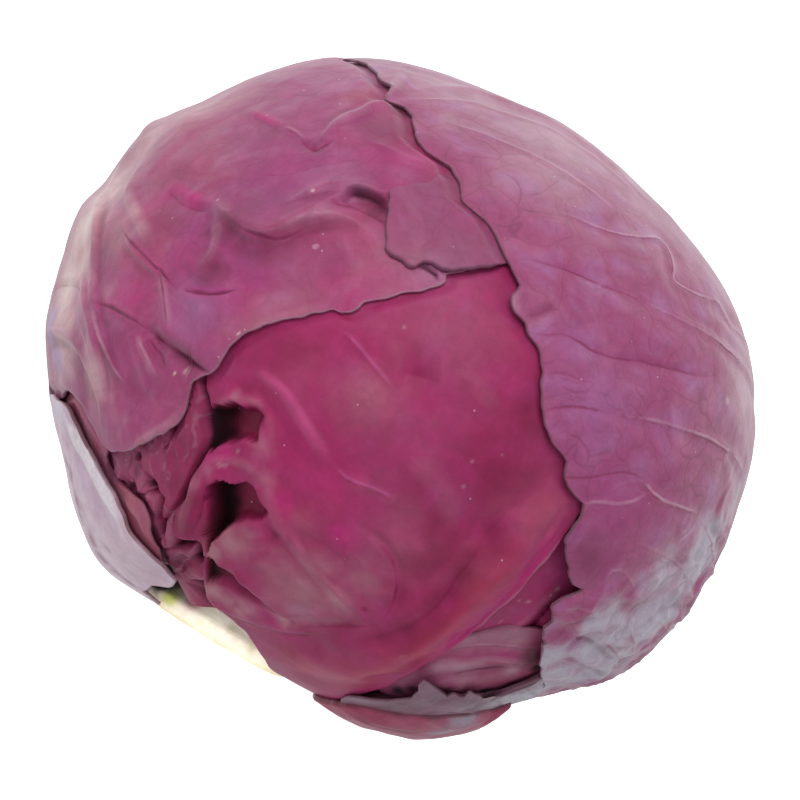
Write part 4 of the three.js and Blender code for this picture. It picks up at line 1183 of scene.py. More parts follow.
TOP_LINES = {
    "glow": [
        (2.2, 1.1, [(166, 181), (175, 189), (186, 197), (198, 201), (217, 202)]),
        (1.6, 0.5, [(230, 214), (240, 222), (252, 230), (266, 232), (282, 227), (300, 218), (322, 210)]),
        (1.6, 0.5, [(222, 300), (232, 294), (244, 287), (256, 280)]),
        (1.3, 0.7, [(96, 303), (112, 309), (128, 317), (142, 325)]),
        (1.3, 0.7, [(190, 291), (205, 294), (222, 292), (236, 288)]),
        (1.1, 0.5, [(126, 232), (134, 244), (144, 256), (156, 268), (168, 278)]),
        (1.1, 0.6, [(50, 286), (58, 280), (70, 278), (80, 284), (88, 294)]),
        (1.1, 0.9, [(250, 112), (262, 117), (275, 123), (285, 128)]),
        (0.9, 0.6, [(368, 140), (380, 146), (400, 155), (416, 163)]),
    ],
    "crease": [
        (0.8, 0.6, [(166, 188), (181, 202), (197, 209), (213, 209)]),
        (0.8, 1.2, [(147, 330), (160, 341), (172, 349), (184, 357), (196, 366), (210, 374)]),
        (0.7, 0.5, [(52, 290), (62, 284), (76, 286), (86, 298)]),
        (0.9, 1.0, [(302, 138), (308, 146), (315, 149), (322, 145), (334, 140)]),
        (0.8, 0.8, [(330, 202), (344, 203), (360, 206), (376, 213), (390, 226)]),
    ],
    "drape": [
        (1.25, 1.1, [(196, 199), (213, 203), (225, 211), (236, 221), (247, 229), (258, 234), (268, 234),
            (282, 230), (300, 221), (320, 214), (340, 214), (358, 220), (378, 232)]),
        (0.9, 0.7, [(123, 229), (130, 241), (138, 251), (152, 264), (163, 269), (176, 280)]),
        (0.7, 0.7, [(99, 300), (116, 306), (132, 317), (150, 326)]),
        (0.7, 0.9, [(150, 328), (174, 345), (193, 359), (207, 369)]),
        (0.5, 1.0, [(158, 352), (152, 340), (146, 330)]),
        (1.0, 1.1, [(126, 386), (119, 375), (111, 362), (100, 334), (95, 310), (94, 288), (95, 261),
            (96, 229), (100, 206), (106, 188)]),
        (0.8, 1.0, [(106, 407), (105, 396), (102, 370), (95, 332), (86, 296), (82, 268)]),
        (1.0, 1.0, [(45, 331), (60, 331), (76, 342), (87, 363), (95, 388), (100, 408), (99, 428)]),
        (0.6, 0.6, [(58, 383), (68, 388), (78, 398), (88, 414)]),
        (0.8, 0.5, [(246, 108), (262, 115), (285, 127), (304, 139)]),
        (1.0, 0.8, [(390, 104), (365, 111), (346, 118), (328, 132), (320, 142)]),
        (0.8, 0.5, [(366, 138), (375, 143), (395, 152), (415, 162), (440, 170)]),
        (0.9, 0.8, [(284, 205), (300, 197), (325, 187), (345, 184), (365, 184), (385, 190)]),
    ],
    "shade": [
        (1.7, 0.9, [(222, 222), (235, 233), (250, 243), (266, 246), (285, 240), (310, 228)]),
        (2.0, 0.9, [(222, 218), (228, 226), (236, 236)]),
        (1.8, 0.9, [(226, 256), (216, 266), (204, 276)]),
        (0.7, 0.6, [(208, 220), (206, 238)]),
        (0.7, 1.0, [(150, 336), (154, 346), (160, 357), (168, 370)]),
        (0.9, 0.7, [(102, 330), (108, 352), (116, 374), (122, 396)]),
        (1.1, 1.0, [(148, 330), (154, 344), (162, 360)]),
        (0.7, 0.9, [(150, 336), (166, 346), (182, 358), (200, 370)]),
        (1.2, 0.4, [(118, 344), (124, 366), (132, 388), (136, 408)]),
        (1.3, 0.25, [(160, 120), (140, 145), (126, 168)]),
        (1.4, 0.6, [(70, 345), (80, 366), (88, 390), (94, 412)]),
        (0.7, 1.0, [(352, 195), (366, 199), (378, 204), (390, 212)]),
    ],
    "fold": [
        (1.0, 0.5, [(216, 214), (216, 234), (210, 254), (197, 268)]),
        (1.0, 0.5, [(160, 269), (164, 288), (167, 307), (171, 332)]),
        (0.8, 0.35, [(136, 334), (143, 350), (151, 368), (158, 382)]),
        (0.7, 0.25, [(126, 330), (132, 352), (140, 375), (146, 400)]),
        (1.4, 0.6, [(160, 118), (142, 140), (128, 158), (116, 176), (106, 190)]),
        (1.3, 0.9, [(136, 168), (131, 184), (130, 198), (136, 214), (147, 234), (156, 248)]),
        (1.2, 0.5, [(195, 105), (184, 128), (178, 150)]),
        (0.9, 0.6, [(130, 448), (150, 436), (168, 424), (180, 408)]),
    ],
    "red_vein": [
        (1.1, 1.3, [(182, 288), (193, 291), (210, 293), (226, 291), (242, 286)]),
        (1.0, 1.3, [(122, 228), (130, 239), (140, 250), (152, 262), (161, 270), (177, 289)]),
        (1.1, 1.1, [(236, 224), (250, 232), (262, 236), (276, 238), (292, 233), (308, 224)]),
        (0.8, 0.9, [(160, 270), (164, 288), (166, 308), (169, 328)]),
        (1.3, 1.3, [(96, 302), (112, 307), (128, 316), (140, 323), (152, 332)]),
    ],
    "valley": [
        (0.5, 1.2, [(150, 332), (163, 342), (174, 350), (193, 364), (205, 372)]),
        (0.6, 1.2, [(145, 324), (152, 338), (158, 354), (165, 364)]),
        (1.3, 0.4, [(290, 175), (320, 165), (360, 160)]),
    ],
    "slit": [
        (0.9, 0.6, [(172, 349), (184, 357), (196, 366), (212, 375)]),
        (1.0, 1.0, [(416, 263), (426, 266), (436, 272), (440, 280)]),
        (1.9, 1.0, [(346, 193), (354, 190), (366, 192), (378, 197), (390, 204)]),
    ],
    "thread": [
        (1.0, 1.2, [(149, 336), (153, 345), (159, 356), (167, 368)]),
    ],
    "highlight_hair": [
        (1.0, 0.5, [(138, 338), (144, 352), (150, 366), (157, 380)]),
        (1.0, 0.6, [(95, 305), (98, 325), (104, 345), (112, 366), (119, 378), (126, 386)]),
        (1.0, 0.6, [(80, 318), (88, 345), (96, 372), (103, 396), (106, 407)]),
        (1.0, 0.7, [(45, 331), (60, 331), (70, 338), (77, 348)]),
    ],
    "line_fold": [
        (1.0, 0.9, [(136, 334), (143, 350), (151, 368), (158, 382)]),
    ],
    "light": [
        (0.8, 0.7, [(97, 215), (95, 245), (94, 275), (95, 306)]),
        (1.6, 0.14, [(212, 344), (238, 326), (262, 312), (281, 304), (305, 298), (331, 294)]),
        (0.6, 0.22, [(238, 336), (262, 322), (281, 314), (305, 308), (331, 304)]),
    ],
    "vein": [
        (0.8, 0.8, [(285, 128), (296, 133), (304, 139)]),
        (1.0, 1.0, [globe(-112, -10), globe(-98, 2), globe(-88, 14)]),
        (1.0, 1.0, [globe(-108, 15), globe(-94, 28), globe(-80, 38)]),
        (1.0, 1.0, [globe(-110, 5), globe(-122, 18), globe(-130, 26)]),
        (1.0, 1.0, [globe(-104, 28), globe(-118, 42), globe(-134, 50)]),
    ],
    "dip": [
        (0.9, 0.8, [(150, 390), (140, 410), (128, 430)]),
    ],
    "rib": [
        (0.9, 1.0, [globe(-116, -34), globe(-112, -10), globe(-108, 15), globe(-98, 38), globe(-75, 58)]),
    ],
}
TOP_SPOTS = {
    # painted highlights at the limb, on ridges, and tiny glints
    "pale": [
        ((110, 190), 15, 0.85), ((66, 285), 13, 1.0), ((84, 232), 13, 1.0), ((70, 326), 7, 0.5),
        ((84, 262), 10, 0.6), ((80, 262), 10, 0.8), ((60, 345), 9, 0.7), ((145, 142), 10, 0.6),
        ((190, 115), 12, 0.35), ((240, 82), 12, 0.15), ((95, 380), 8, 0.6), ((128, 165), 9, 0.5),
        ((314, 194), 0.5, 1.0), ((219, 201), 0.5, 1.0), ((237, 333), 0.5, 1.0), ((174, 373), 0.45, 1.0),
        ((186, 370), 0.6, 0.9), (globe(-110, 40), 22, 0.4),
    ],
    "hot": [
        ((132, 290), 9, 0.6), ((150, 345), 9, 0.4), ((120, 372), 8, 0.4), ((62, 330), 4, 0.3),
        ((66, 305), 7, 0.4), ((120, 390), 12, 0.4), ((150, 410), 9, 0.35), ((190, 250), 8, 0.3),
        ((232, 300), 5, 0.5), ((130, 345), 9, 0.5), ((85, 290), 6, 0.7), ((245, 265), 10, 0.35),
        ((165, 195), 5, 0.7), ((285, 170), 9, 0.4), ((400, 150), 9, 0.5), ((350, 290), 8, 0.4),
        (globe(-100, 10), 20, 0.3),
    ],
    # mostly painted shade under the folds and lobes and in the hollow under the folded corner
    "deep": [
        ((270, 85), 12, 0.16), ((200, 130), 12, 0.16), ((392, 134), 10, 0.6), ((355, 168), 12, 0.2),
        ((440, 190), 8, 0.4), ((229, 228), 6, 0.85), ((250, 246), 7, 0.6), ((214, 268), 6, 0.8),
        ((275, 246), 7, 0.55), ((302, 234), 6, 0.4), ((180, 170), 7, 0.3), ((108, 250), 7, 0.35),
        ((160, 225), 8, 0.4), ((250, 205), 11, 0.5), ((300, 130), 12, 0.15), ((330, 260), 10, 0.2),
        ((120, 340), 7, 0.3), ((84, 385), 4, 0.4), ((398, 111), 4.2, 1.0), ((418, 135), 2.5, 0.8),
        ((376, 206), 4.5, 0.9), ((340, 330), 4, 0.3),
    ],
    "pink": [
        ((196, 312), 10, 0.6), ((290, 268), 8, 0.25), ((116, 323), 4, 0.3), ((250, 254), 5, 0.4),
        ((262, 190), 9, 0.3), ((208, 222), 7, 0.2), ((332, 160), 9, 0.3), ((308, 176), 7, 0.35),
    ],
    "bloom": [
        ((50, 410), 7, 1.0), ((52, 352), 6, 0.9), ((50, 325), 7, 0.9), ((56, 360), 6, 0.8),
        (globe(-106, -20), 14, 0.6),
    ],
    # near-black painted shade in the hollow under the folded corner
    "gap_shade": [((382, 203), 1.3, 0.5)],
    "line": [((315, 245), 1.0, 1.0)],
}
FRONT_LINES = {
    "rib": [
        (2.1, 1.3, [(262, 640), (300, 662), (341, 664), (385, 648), (425, 625), (460, 598), (490, 568),
            (520, 532), (550, 496), (575, 470)]),
    ],
    "valley": [
        (0.9, 1.6, [(340, 638), (361, 638), (389, 632), (417, 619), (441, 601), (461, 576), (480, 551),
            (497, 529), (518, 505), (542, 486)]),
        (0.5, 0.7, [(440, 650), (457, 640), (478, 622), (498, 600), (522, 573), (542, 552), (558, 533),
            (570, 515)]),
        (0.8, 0.55, [(246, 380), (264, 400), (280, 425), (296, 455), (315, 480)]),
        (1.3, 0.5, [(398, 372), (417, 376), (440, 384)]),
        (0.9, 0.6, [(300, 530), (330, 550), (352, 576), (364, 604)]),
        (0.7, 0.6, [(222, 572), (244, 590), (268, 606)]),
        (1.8, 0.6, [(448, 440), (478, 476), (482, 516), (462, 552)]),
        (1.5, 0.5, [(520, 400), (528, 440), (520, 470)]),
    ],
    "shade": [
        (2.8, 0.6, [(530, 380), (512, 436), (482, 486), (446, 534), (410, 574), (366, 604)]),
        (1.0, 1.0, [(340, 638), (361, 638), (389, 632), (417, 619), (441, 601), (461, 576), (480, 551),
            (497, 529), (520, 503)]),
        (0.9, 1.0, [(206, 576), (226, 583), (250, 596), (276, 612)]),
        (1.3, 0.8, [(548, 360), (546, 400), (552, 430), (566, 462)]),
        (1.0, 0.6, [(532, 290), (524, 316), (535, 345)]),
    ],
    "blush": [
        (1.9, 1.2, [(300, 676), (345, 674), (385, 662), (427, 639), (461, 608), (490, 573), (516, 539),
            (540, 508), (564, 484)]),
    ],
    "drape": [
        (0.8, 1.3, [(202, 553), (213, 562), (224, 571), (248, 587), (272, 603), (292, 615), (304, 629)]),
        (0.7, 1.4, [(204, 596), (214, 606), (228, 612), (252, 621), (276, 627), (298, 630), (330, 632)]),
        (0.9, 0.8, [(385, 617), (392, 597), (392, 572), (378, 548), (350, 524)]),
        (0.8, 0.6, [(353, 613), (344, 596), (320, 576), (304, 556), (286, 522)]),
    ],
    "glow": [
        (3.0, 1.2, [(425, 660), (465, 632), (504, 595), (536, 559), (562, 519)]),
        (1.3, 1.0, [(252, 368), (262, 374), (272, 381), (285, 393), (300, 415), (315, 440), (330, 462),
            (342, 478)]),
        (0.9, 0.7, [(350, 600), (362, 612), (368, 624), (360, 632)]),
    ],
    "light": [
        (0.55, 1.3, [(470, 637), (485, 625), (500, 612), (513, 600), (526, 587), (540, 570), (552, 553),
            (562, 537)]),
        (0.25, 1.2, [(216, 464), (224, 465), (231, 464)]),
    ],
    "fold": [
        (1.2, 0.5, [(250, 366), (268, 379), (285, 394), (300, 416), (316, 442), (335, 470)]),
        (1.4, 0.25, [(335, 472), (358, 484), (385, 496), (410, 515)]),
        (2.0, 0.35, [(355, 392), (372, 410), (390, 430)]),
        (1.8, 0.3, [(455, 372), (478, 388), (500, 410)]),
        (0.8, 0.8, [(212, 405), (226, 400), (243, 399), (258, 404), (266, 414)]),
        (0.8, 0.45, [(266, 410), (270, 430), (266, 452), (262, 468)]),
        (0.8, 0.8, [(204, 464), (218, 460), (236, 461), (252, 470), (264, 486)]),
        (0.9, 1.1, [(206, 464), (197, 482), (190, 500), (184, 520), (182, 536)]),
        (1.2, 0.8, [(264, 480), (271, 500), (278, 520), (290, 545)]),
        (1.0, 0.8, [(284, 531), (306, 552), (329, 579), (345, 602), (353, 620)]),
        (1.0, 0.7, [(262, 606), (285, 612), (310, 612)]),
        (1.8, 0.4, [(405, 455), (436, 480), (452, 510), (446, 540)]),
    ],
    "soft_vein": [
        (1.1, 0.7, [(335, 468), (345, 478), (360, 484), (377, 491), (395, 500)]),
        (0.8, 0.65, [(340, 332), (349, 338), (370, 362), (393, 390)]),
    ],
    "dip": [
        (0.8, 0.8, [(352, 350), (376, 378), (400, 402)]),
    ],
    "crease": [
        (0.7, 0.9, [(206, 482), (203, 505), (198, 522), (190, 538)]),
        (0.7, 0.7, [(192, 478), (184, 496), (177, 514), (174, 530)]),
        (1.0, 0.5, [(262, 520), (272, 530), (282, 545), (296, 560)]),
        (1.1, 0.5, [(276, 540), (298, 562), (318, 586), (334, 606)]),
        (1.1, 0.8, [(372, 535), (390, 556), (397, 580), (393, 604), (383, 622)]),
        (1.2, 0.9, [(300, 626), (330, 629), (361, 627), (381, 620)]),
    ],
}
FRONT_SPOTS = {
    # painted highlights on bumps and ridges, and tiny glints
    "pale": [
        ((300, 590), 10, 0.7), ((335, 600), 8, 0.6), ((262, 444), 3, 0.4), ((266, 480), 3, 0.35),
        ((284, 619), 3, 0.9), ((211, 591), 4, 0.9), ((226, 600), 4, 0.6), ((246, 609), 4, 0.6),
        ((310, 565), 7, 0.5), ((360, 580), 6, 0.45), ((230, 545), 6, 0.7), ((214, 552), 3, 0.9),
        ((365, 395), 9, 0.3), ((340, 402), 6, 0.2), ((240, 612), 4, 0.6), ((460, 330), 14, 0.07),
        ((300, 378), 10, 0.07), ((400, 556), 11, 0.22), ((540, 510), 8, 0.3), ((300, 520), 5, 0.25),
        ((480, 578), 8, 0.25), ((236, 398), 2.0, 0.6), ((208, 470), 2.0, 0.4), ((404, 328), 0.5, 1.0),
        ((473, 463), 0.5, 1.0), ((464, 487), 0.5, 0.9), ((402, 646), 0.5, 1.0), ((238, 452), 0.5, 1.0),
        ((502, 455), 0.4, 0.9),
    ],
    # painted shade in the hollows, gaps and under folds
    "deep": [
        ((196, 505), 5, 0.5), ((188, 525), 5, 0.5), ((262, 660), 8, 0.45), ((236, 625), 5, 0.5),
        ((290, 655), 7, 0.3), ((350, 430), 12, 0.22), ((240, 450), 3.5, 0.4), ((300, 600), 8, 0.25),
        ((350, 668), 12, 0.12), ((420, 375), 5, 0.5), ((470, 360), 12, 0.3), ((500, 480), 14, 0.65),
        ((440, 560), 12, 0.4), ((400, 566), 6, 0.3), ((530, 420), 8, 0.6), ((276, 535), 1.3, 0.9),
        ((405, 600), 8, 0.4), ((275, 345), 7, 0.3), ((330, 640), 9, 0.35), ((420, 500), 8, 0.3),
        ((246, 390), 3.5, 0.5), ((310, 680), 7, 0.35), ((232, 582), 4.0, 0.9), ((277, 537), 1.0, 0.9),
        ((365, 610), 1.3, 0.8),
    ],
    "hot": [
        ((284, 630), 5, 0.5), ((320, 480), 12, 0.4), ((300, 440), 8, 0.5), ((300, 450), 10, 0.4),
        ((284, 507), 3.5, 0.9), ((341, 535), 5.0, 0.8), ((238, 494), 3.5, 1.0), ((242, 400), 3, 0.8),
        ((252, 512), 3.0, 0.7), ((222, 462), 3.0, 0.8),
    ],
    # pink, partly tone and partly a painted highlight on the rib
    "pink": [
        ((350, 672), 12, 0.8), ((305, 664), 10, 0.7), ((400, 655), 10, 0.6), ((540, 508), 8, 0.5),
        ((490, 575), 8, 0.5), ((300, 516), 8, 0.4), ((330, 500), 8, 0.3),
    ],
    "bloom": [((300, 608), 6, 0.4)],
}
MIDDLE_SPOTS = {
    # painted shade under the leaves that lie over it
    "deep": [((110, 486), 5, 0.3), ((138, 530), 6, 0.3)],
    "pale": [((84, 430), 6, 0.15)],
}
LEFT_LINES = {
    "white": [
        (1.6, 1.3, [(60, 404), (70, 430), (80, 450), (92, 474), (105, 498), (116, 520), (128, 540)]),
        (0.8, 0.8, [(70, 420), (80, 450), (92, 478), (106, 500)]),
        (1.3, 0.9, [globe(-104, -80), globe(-116, -60), globe(-119, -42), globe(-117, -22)]),
    ],
    "vein": [
        (0.8, 0.4, [(60, 430), (66, 460), (76, 490), (92, 525)]),
        (1.0, 0.8, [globe(-117, -55), globe(-128, -46), globe(-140, -38)]),
        (1.0, 0.8, [globe(-118, -40), globe(-130, -30), globe(-138, -26)]),
        (1.0, 0.8, [globe(-113, -66), globe(-124, -62), globe(-134, -58)]),
        (1.0, 0.8, [globe(-116, -50), globe(-104, -42), globe(-96, -36)]),
    ],
    "dip": [
        (1.0, 1.0, [(72, 440), (88, 482), (110, 525), (140, 560)]),
    ],
}
LEFT_SPOTS = {
    "hot": [
        ((75, 442), 8, 0.4), ((66, 463), 2.4, 1.0), ((70, 476), 3.4, 1.0), ((76, 501), 3.2, 1.0),
        ((80, 516), 2.2, 1.0), ((92, 541), 3.2, 1.0), ((106, 549), 1.8, 1.0), ((104, 561), 3.4, 1.0),
        ((115, 572), 3.0, 1.0), ((128, 582), 2.6, 1.0), ((150, 575), 7, 0.35), ((138, 562), 9, 0.2),
    ],
    "pale": [((120, 560), 12, 0.5)],
    "pink": [((124, 566), 12, 0.16)],
    # painted shade
    "deep": [((148, 603), 3, 0.9), (globe(-130, -14), 5, 0.5)],
    "bloom": [((58, 415), 6, 0.8)],
}
MIDDLE_LINES = {
    "fold": [
        (0.8, 0.8, [(72, 396), (84, 425), (93, 455), (106, 480), (124, 500), (140, 520), (150, 545)]),
    ],
    "crease": [
        (0.7, 0.7, [(66, 410), (76, 440), (88, 470), (104, 498), (124, 522), (142, 545)]),
    ],
}
LOWER_LINES = {
    "vein": [
        (0.8, 0.7, [(430, 655), (460, 648), (500, 646), (540, 650)]),
    ],
    "light": [
        (2.0, 0.6, [(462, 645), (485, 640), (510, 637), (540, 637)]),
        (1.0, 0.7, [(420, 676), (440, 668), (462, 667), (490, 671)]),
    ],
    "glow": [
        (4.0, 0.9, [(436, 664), (462, 656), (492, 653), (520, 655), (540, 660)]),
    ],
    "fold": [
        (0.7, 0.7, [(440, 668), (470, 660), (510, 660), (545, 664)]),
    ],
    "crease": [
        (0.8, 0.7, [(450, 675), (480, 672), (520, 668)]),
    ],
}
LOWER_SPOTS = {
    "bloom": [((520, 650), 4, 0.3)],
    # near-black painted shade in the hollows at its foot
    "gap_shade": [
        ((398, 691), 3.0, 1.0), ((412, 689), 2.6, 1.0), ((444, 692), 2.0, 0.9), ((484, 692), 1.8, 0.9),
        ((536, 668), 2.0, 0.9),
    ],
    # painted shade
    "deep": [((535, 658), 4.5, 1.0)],
    "pale": [((512, 672), 4, 0.5), ((465, 682), 3, 0.4), ((470, 640), 5, 0.3)],
}
STRIP_LINES = {
    "shade": [
        (0.8, 0.6, [(345, 706), (380, 707), (420, 703), (460, 703), (500, 706)]),
    ],
    "drape": [
        (0.35, 0.8, [(420, 684), (424, 696), (434, 708)]),
        (0.35, 0.8, [(492, 682), (496, 694), (506, 706)]),
        (0.4, 0.8, [(528, 672), (532, 686), (542, 698)]),
        (0.35, 0.8, [(455, 696), (462, 704), (474, 710)]),
    ],
    "vein": [
        (0.7, 0.8, [(510, 684), (520, 692), (534, 694), (548, 688)]),
        (0.7, 0.8, [(440, 712), (470, 714), (500, 710)]),
    ],
}
STRIP_SPOTS = {
    "bloom": [
        ((565, 685), 28, 1.0), ((508, 700), 8, 0.8), ((470, 708), 6, 0.4), ((440, 714), 8, 0.3),
        (globe(98, -60), 26, 0.9),
    ],
    # painted shade
    "deep": [((400, 706), 9, 0.45), ((440, 700), 7, 0.5), ((480, 706), 5, 0.5)],
}
BEHIND_LINES = {
    "fold": [
        (1.0, 0.5, [(500, 640), (530, 615), (560, 580)]),
    ],
    "crease": [
        (1.0, 1.0, [(520, 645), (545, 615), (565, 590)]),
    ],
}
BEHIND_SPOTS = {
    # tiny painted glints
    "pale": [
        ((557, 588), 0.8, 1.0), ((528, 601), 0.8, 1.0), ((519, 600), 0.5, 1.0), ((508, 628), 0.7, 1.0),
        ((550, 594), 0.5, 1.0), ((500, 622), 0.5, 1.0),
    ],
    "hot": [((530, 620), 9, 0.5)],
}
BACK_LINES = {
    "rib": [
        (0.9, 1.0, [globe(224, -76), globe(222, -50), globe(223, -20), globe(224, 5), globe(226, 25),
            globe(232, 45)]),
    ],
    "vein": [
        (1.0, 1.0, [globe(223, -30), globe(214, -20), globe(206, -12)]),
        (1.0, 1.0, [globe(223, -10), globe(214, 2), globe(206, 10)]),
        (1.0, 1.0, [globe(224, 8), globe(215, 20), globe(206, 27)]),
        (1.0, 1.0, [globe(223, -20), globe(232, -10), globe(241, -3)]),
        (1.0, 1.0, [globe(224, 3), globe(232, 13), globe(239, 18)]),
    ],
}
BACK_SPOTS = {
    "bloom": [(globe(224, -50), 26, 0.8)],
    "pale": [(globe(226, 20), 22, 0.4)],
    "hot": [(globe(222, -10), 16, 0.4)],
}
STUB_LINES = {
    "crease": [
        (0.7, 0.6, [(350, 708), (390, 722), (430, 724)]),
    ],
    "fold": [
        (0.8, 0.8, [(420, 716), (450, 722), (485, 716)]),
    ],
}
STUB_SPOTS = {
    "hot": [((370, 716), 9, 0.8)],
    "bloom": [((470, 716), 9, 0.8), ((440, 726), 6, 0.6)],
    "pale": [((450, 722), 6, 0.5)],
}


# ---- ruffles of the inner head ----------------------------------------------------------------
# The crumpled edges that stand out of the gap: outline, level of the top, and marks; the pale marks on their
# tops are painted highlights
RUFFLES = [
    ([(196, 376), (204, 376), (208, 386), (209, 410), (209, 436), (205, 452), (198, 466), (190, 482),
      (182, 496), (174, 512), (170, 516), (168, 506), (172, 490), (174, 474), (171, 458), (168, 448),
      (176, 436), (182, 424), (187, 408), (192, 390)], -1.9, {"deep": 0.25, "hot": 0.6}),
    ([(134, 448), (140, 436), (160, 426), (174, 424), (172, 440), (170, 452), (173, 470), (173, 488),
      (168, 500), (160, 492), (154, 480), (148, 472), (140, 470), (134, 462)], -3.2, {}),
    ([(104, 446), (120, 442), (129, 446), (130, 468), (134, 482), (130, 488), (118, 482), (110, 470)], -3.4,
     {"bloom": 0.3}),
    ([(131, 446), (134, 454), (140, 462), (146, 474), (152, 488), (150, 494), (142, 492), (136, 482),
      (131, 470)], -3.3, {"pale": 0.2}),
    ([(151, 494), (158, 496), (160, 508), (158, 520), (163, 534), (170, 540), (172, 546), (164, 547),
      (156, 538), (151, 524), (150, 508)], -2.9, {"pale": 0.2}),
    ([(172, 518), (178, 508), (186, 500), (190, 506), (184, 516), (178, 522), (176, 534), (173, 544),
      (168, 542), (170, 530)], -2.7, {"pale": 0.3}),
    ([(162, 548), (176, 548), (190, 548), (198, 546), (197, 556), (186, 562), (180, 570), (174, 572),
      (168, 562)], -2.9, {"pale": 0.25}),
    ([(182, 562), (196, 558), (210, 562), (216, 570), (206, 578), (192, 578), (184, 572)], -3.3, {}),
    ([(188, 594), (196, 598), (206, 603), (211, 608), (204, 610), (194, 604)], -2.5, {"hot": 1.0}),
    ([(104, 452), (114, 450), (124, 468), (140, 480), (147, 500), (136, 501), (122, 489),
      (110, 474)], -4.3, {}),
    ([(140, 492), (150, 490), (156, 500), (154, 520), (150, 530), (145, 516),
      (138, 502)], -4.2, {"pale": 0.2}),
    ([(152, 532), (160, 540), (168, 552), (166, 566), (158, 560), (154, 548)], -4.0, {"pale": 0.2}),
    ([(174, 566), (184, 572), (192, 584), (188, 594), (178, 586), (172, 576)], -3.8, {"hot": 0.2}),
]
RUFFLE_ROUND = 5.5  # squares from an outline to its flat top
RUFFLE_FLOOR = -7.4
INNER_LEVEL = -7.8  # the plain inner head away from the gap
GAP = ((90, 260), (350, 640))
GAP_REACH = 22 * DEG
# small hollows in them, darkened with painted shade, and magenta spots: place and radius
PITS = [((137, 455), 3.5), ((153, 484), 4.5), ((182, 532), 4.0), ((197, 557), 5.0)]
MAGENTA = [((196, 602), 8.0), ((205, 606), 6.0)]
# the leaves over them, and the air below each
COVERING = [
    (right, 1.0), (left_outer, 1.0), (back, 1.0), (top, 0.8), (left_inner, 1.0), (front, 0.9),
    (lower_inner, 0.8),
]
COVER_EDGE = 0.35 * DEG


def inner_of(leaf, d):
    """The level of a leaf's inner face."""
    if leaf is front:
        return front_inner(d)
    return leaf.outer(d) - leaf.thick - 0.3


def ruffles_piece():
    """The inner head: rings close together over the gap and wide apart round the rest."""
    axis = directions([(165, 490)], even(-5))[0]
    spokes, fine, coarse = 320, 160, 16
    turns = np.arange(spokes) / spokes * TURN
    over_gap = np.arange(1, fine + 1) / fine * GAP_REACH
    beyond = GAP_REACH + (np.arange(1, coarse) / coarse) * (math.pi - GAP_REACH)
    angles = np.concatenate([over_gap, beyond])
    d = swing(axis, turns[None], angles[:, None])
    d = np.concatenate([axis[None], d.reshape(-1, 3), -axis[None]])
    warp = surface(d, 0.0)
    at = on_sheet(surface(d, -4.0))
    at = at + 2.2 * np.stack([noise(warp, 3.2, 5), noise(warp, 3.2, 6)], -1) * (d[:, 1:2] < 0)
    level = np.full(len(d), INNER_LEVEL)
    marks = fresh_marks(len(d))
    shown = np.where((d[:, 1] < -0.2) & ((at > np.array(GAP)[:, 0]) & (at < np.array(GAP)[:, 1])).all(1))[0]
    p = at[shown]
    best = np.full(len(p), RUFFLE_FLOOR)
    for outline, peak, gives in RUFFLES:
        depth = outline_depth(p, outline)
        round_off = np.sqrt(clamp(1 - (1 - clamp((depth + 3.0) / RUFFLE_ROUND)) ** 2))
        rise = RUFFLE_FLOOR + (peak - RUFFLE_FLOOR) * round_off
        over = rise > best
        for mark, amount in gives.items():
            marks[mark][shown] = np.where(over, amount * smooth(0.5, 0.95, round_off), marks[mark][shown])
        best = np.maximum(best, rise)
    best = best + 0.9 * noise(warp[shown], 5, 3) * smooth(-7, -4, best)
    dark = np.zeros(len(p))
    # the pits sink and are darkened with painted shade
    for place, radius in PITS:
        pit = np.exp(-((p - place) ** 2).sum(1) / radius**2)
        best = best - 2.4 * pit
        dark = np.maximum(dark, smooth(0.25, 0.8, pit))
    for place, radius in MAGENTA:
        spot = np.exp(-((p - place) ** 2).sum(1) / radius**2)
        marks["hot"][shown] = np.maximum(marks["hot"][shown], 1.1 * spot)
    level[shown] = best
    # the inner head is darkened with painted shade the deeper it lies in front, and over all its hidden back
    marks["gap_shade"] = np.where(d[:, 1] < 0, smooth(-4.6, -6.4, level) * (level < -4.0), 0.6)
    marks["deep"][shown] = np.maximum(marks["deep"][shown], dark)
    crumpled = 0.55 - np.abs(noise(warp * [1, 1, 0.6], 3.4, 1)) * 1.5 - 0.25 * np.abs(noise(warp, 1.6, 4))
    level = level + 0.6 * crumpled * smooth(-7.0, -4.5, level)
    # the crumpled ridges get a painted highlight and the creases painted shade
    deepen(marks, "pale", smooth(0.35, 0.55, crumpled) * 0.5)
    deepen(marks, "deep", smooth(-0.2, -0.7, crumpled) * 0.45)
    for leaf, gap in COVERING:
        near = leaf.inside(d) > -COVER_EDGE
        level[near] = np.minimum(level[near], inner_of(leaf, d[near]) - gap)
    points, faces = clear_of_stem(surface(d, level)), closed_faces(spokes, len(angles))
    return add_mesh("inner_ruffles", points, faces, marks, RUFFLE_LOOK, "inner_head")


# ---- stem -------------------------------------------------------------------------------------
STEM_X, STEM_Y, STEM_HEIGHT = 16.4, 14.2, 17.0
STEM_AIR = 0.9
# half the width and the height, as shares, from the cut face to the hidden top
STEM_PROFILE = np.array([
    (0.0, 0.0), (0.93, 0.0), (1.0, 0.06), (1.052, 0.2), (0.97, 0.36), (0.89, 0.53), (0.8, 0.8), (0.7, 1.0),
    (0.0, 1.0),
])
STEM_FLARE = 2.6  # the bark spreads so far to the left at the cut


def clear_of_stem(points):
    """Moves points that would lie in the stem out to its side."""
    points = points.copy()
    radius = np.hypot(points[:, 0] / (STEM_X + STEM_AIR), points[:, 1] / (STEM_Y + STEM_AIR))
    inside = (radius < 1.05) & (points[:, 2] < STEM_HEIGHT)
    push = np.where(inside, 1.05 / np.maximum(radius, 1e-3), 1.0)
    points[:, :2] *= push[:, None]
    return points


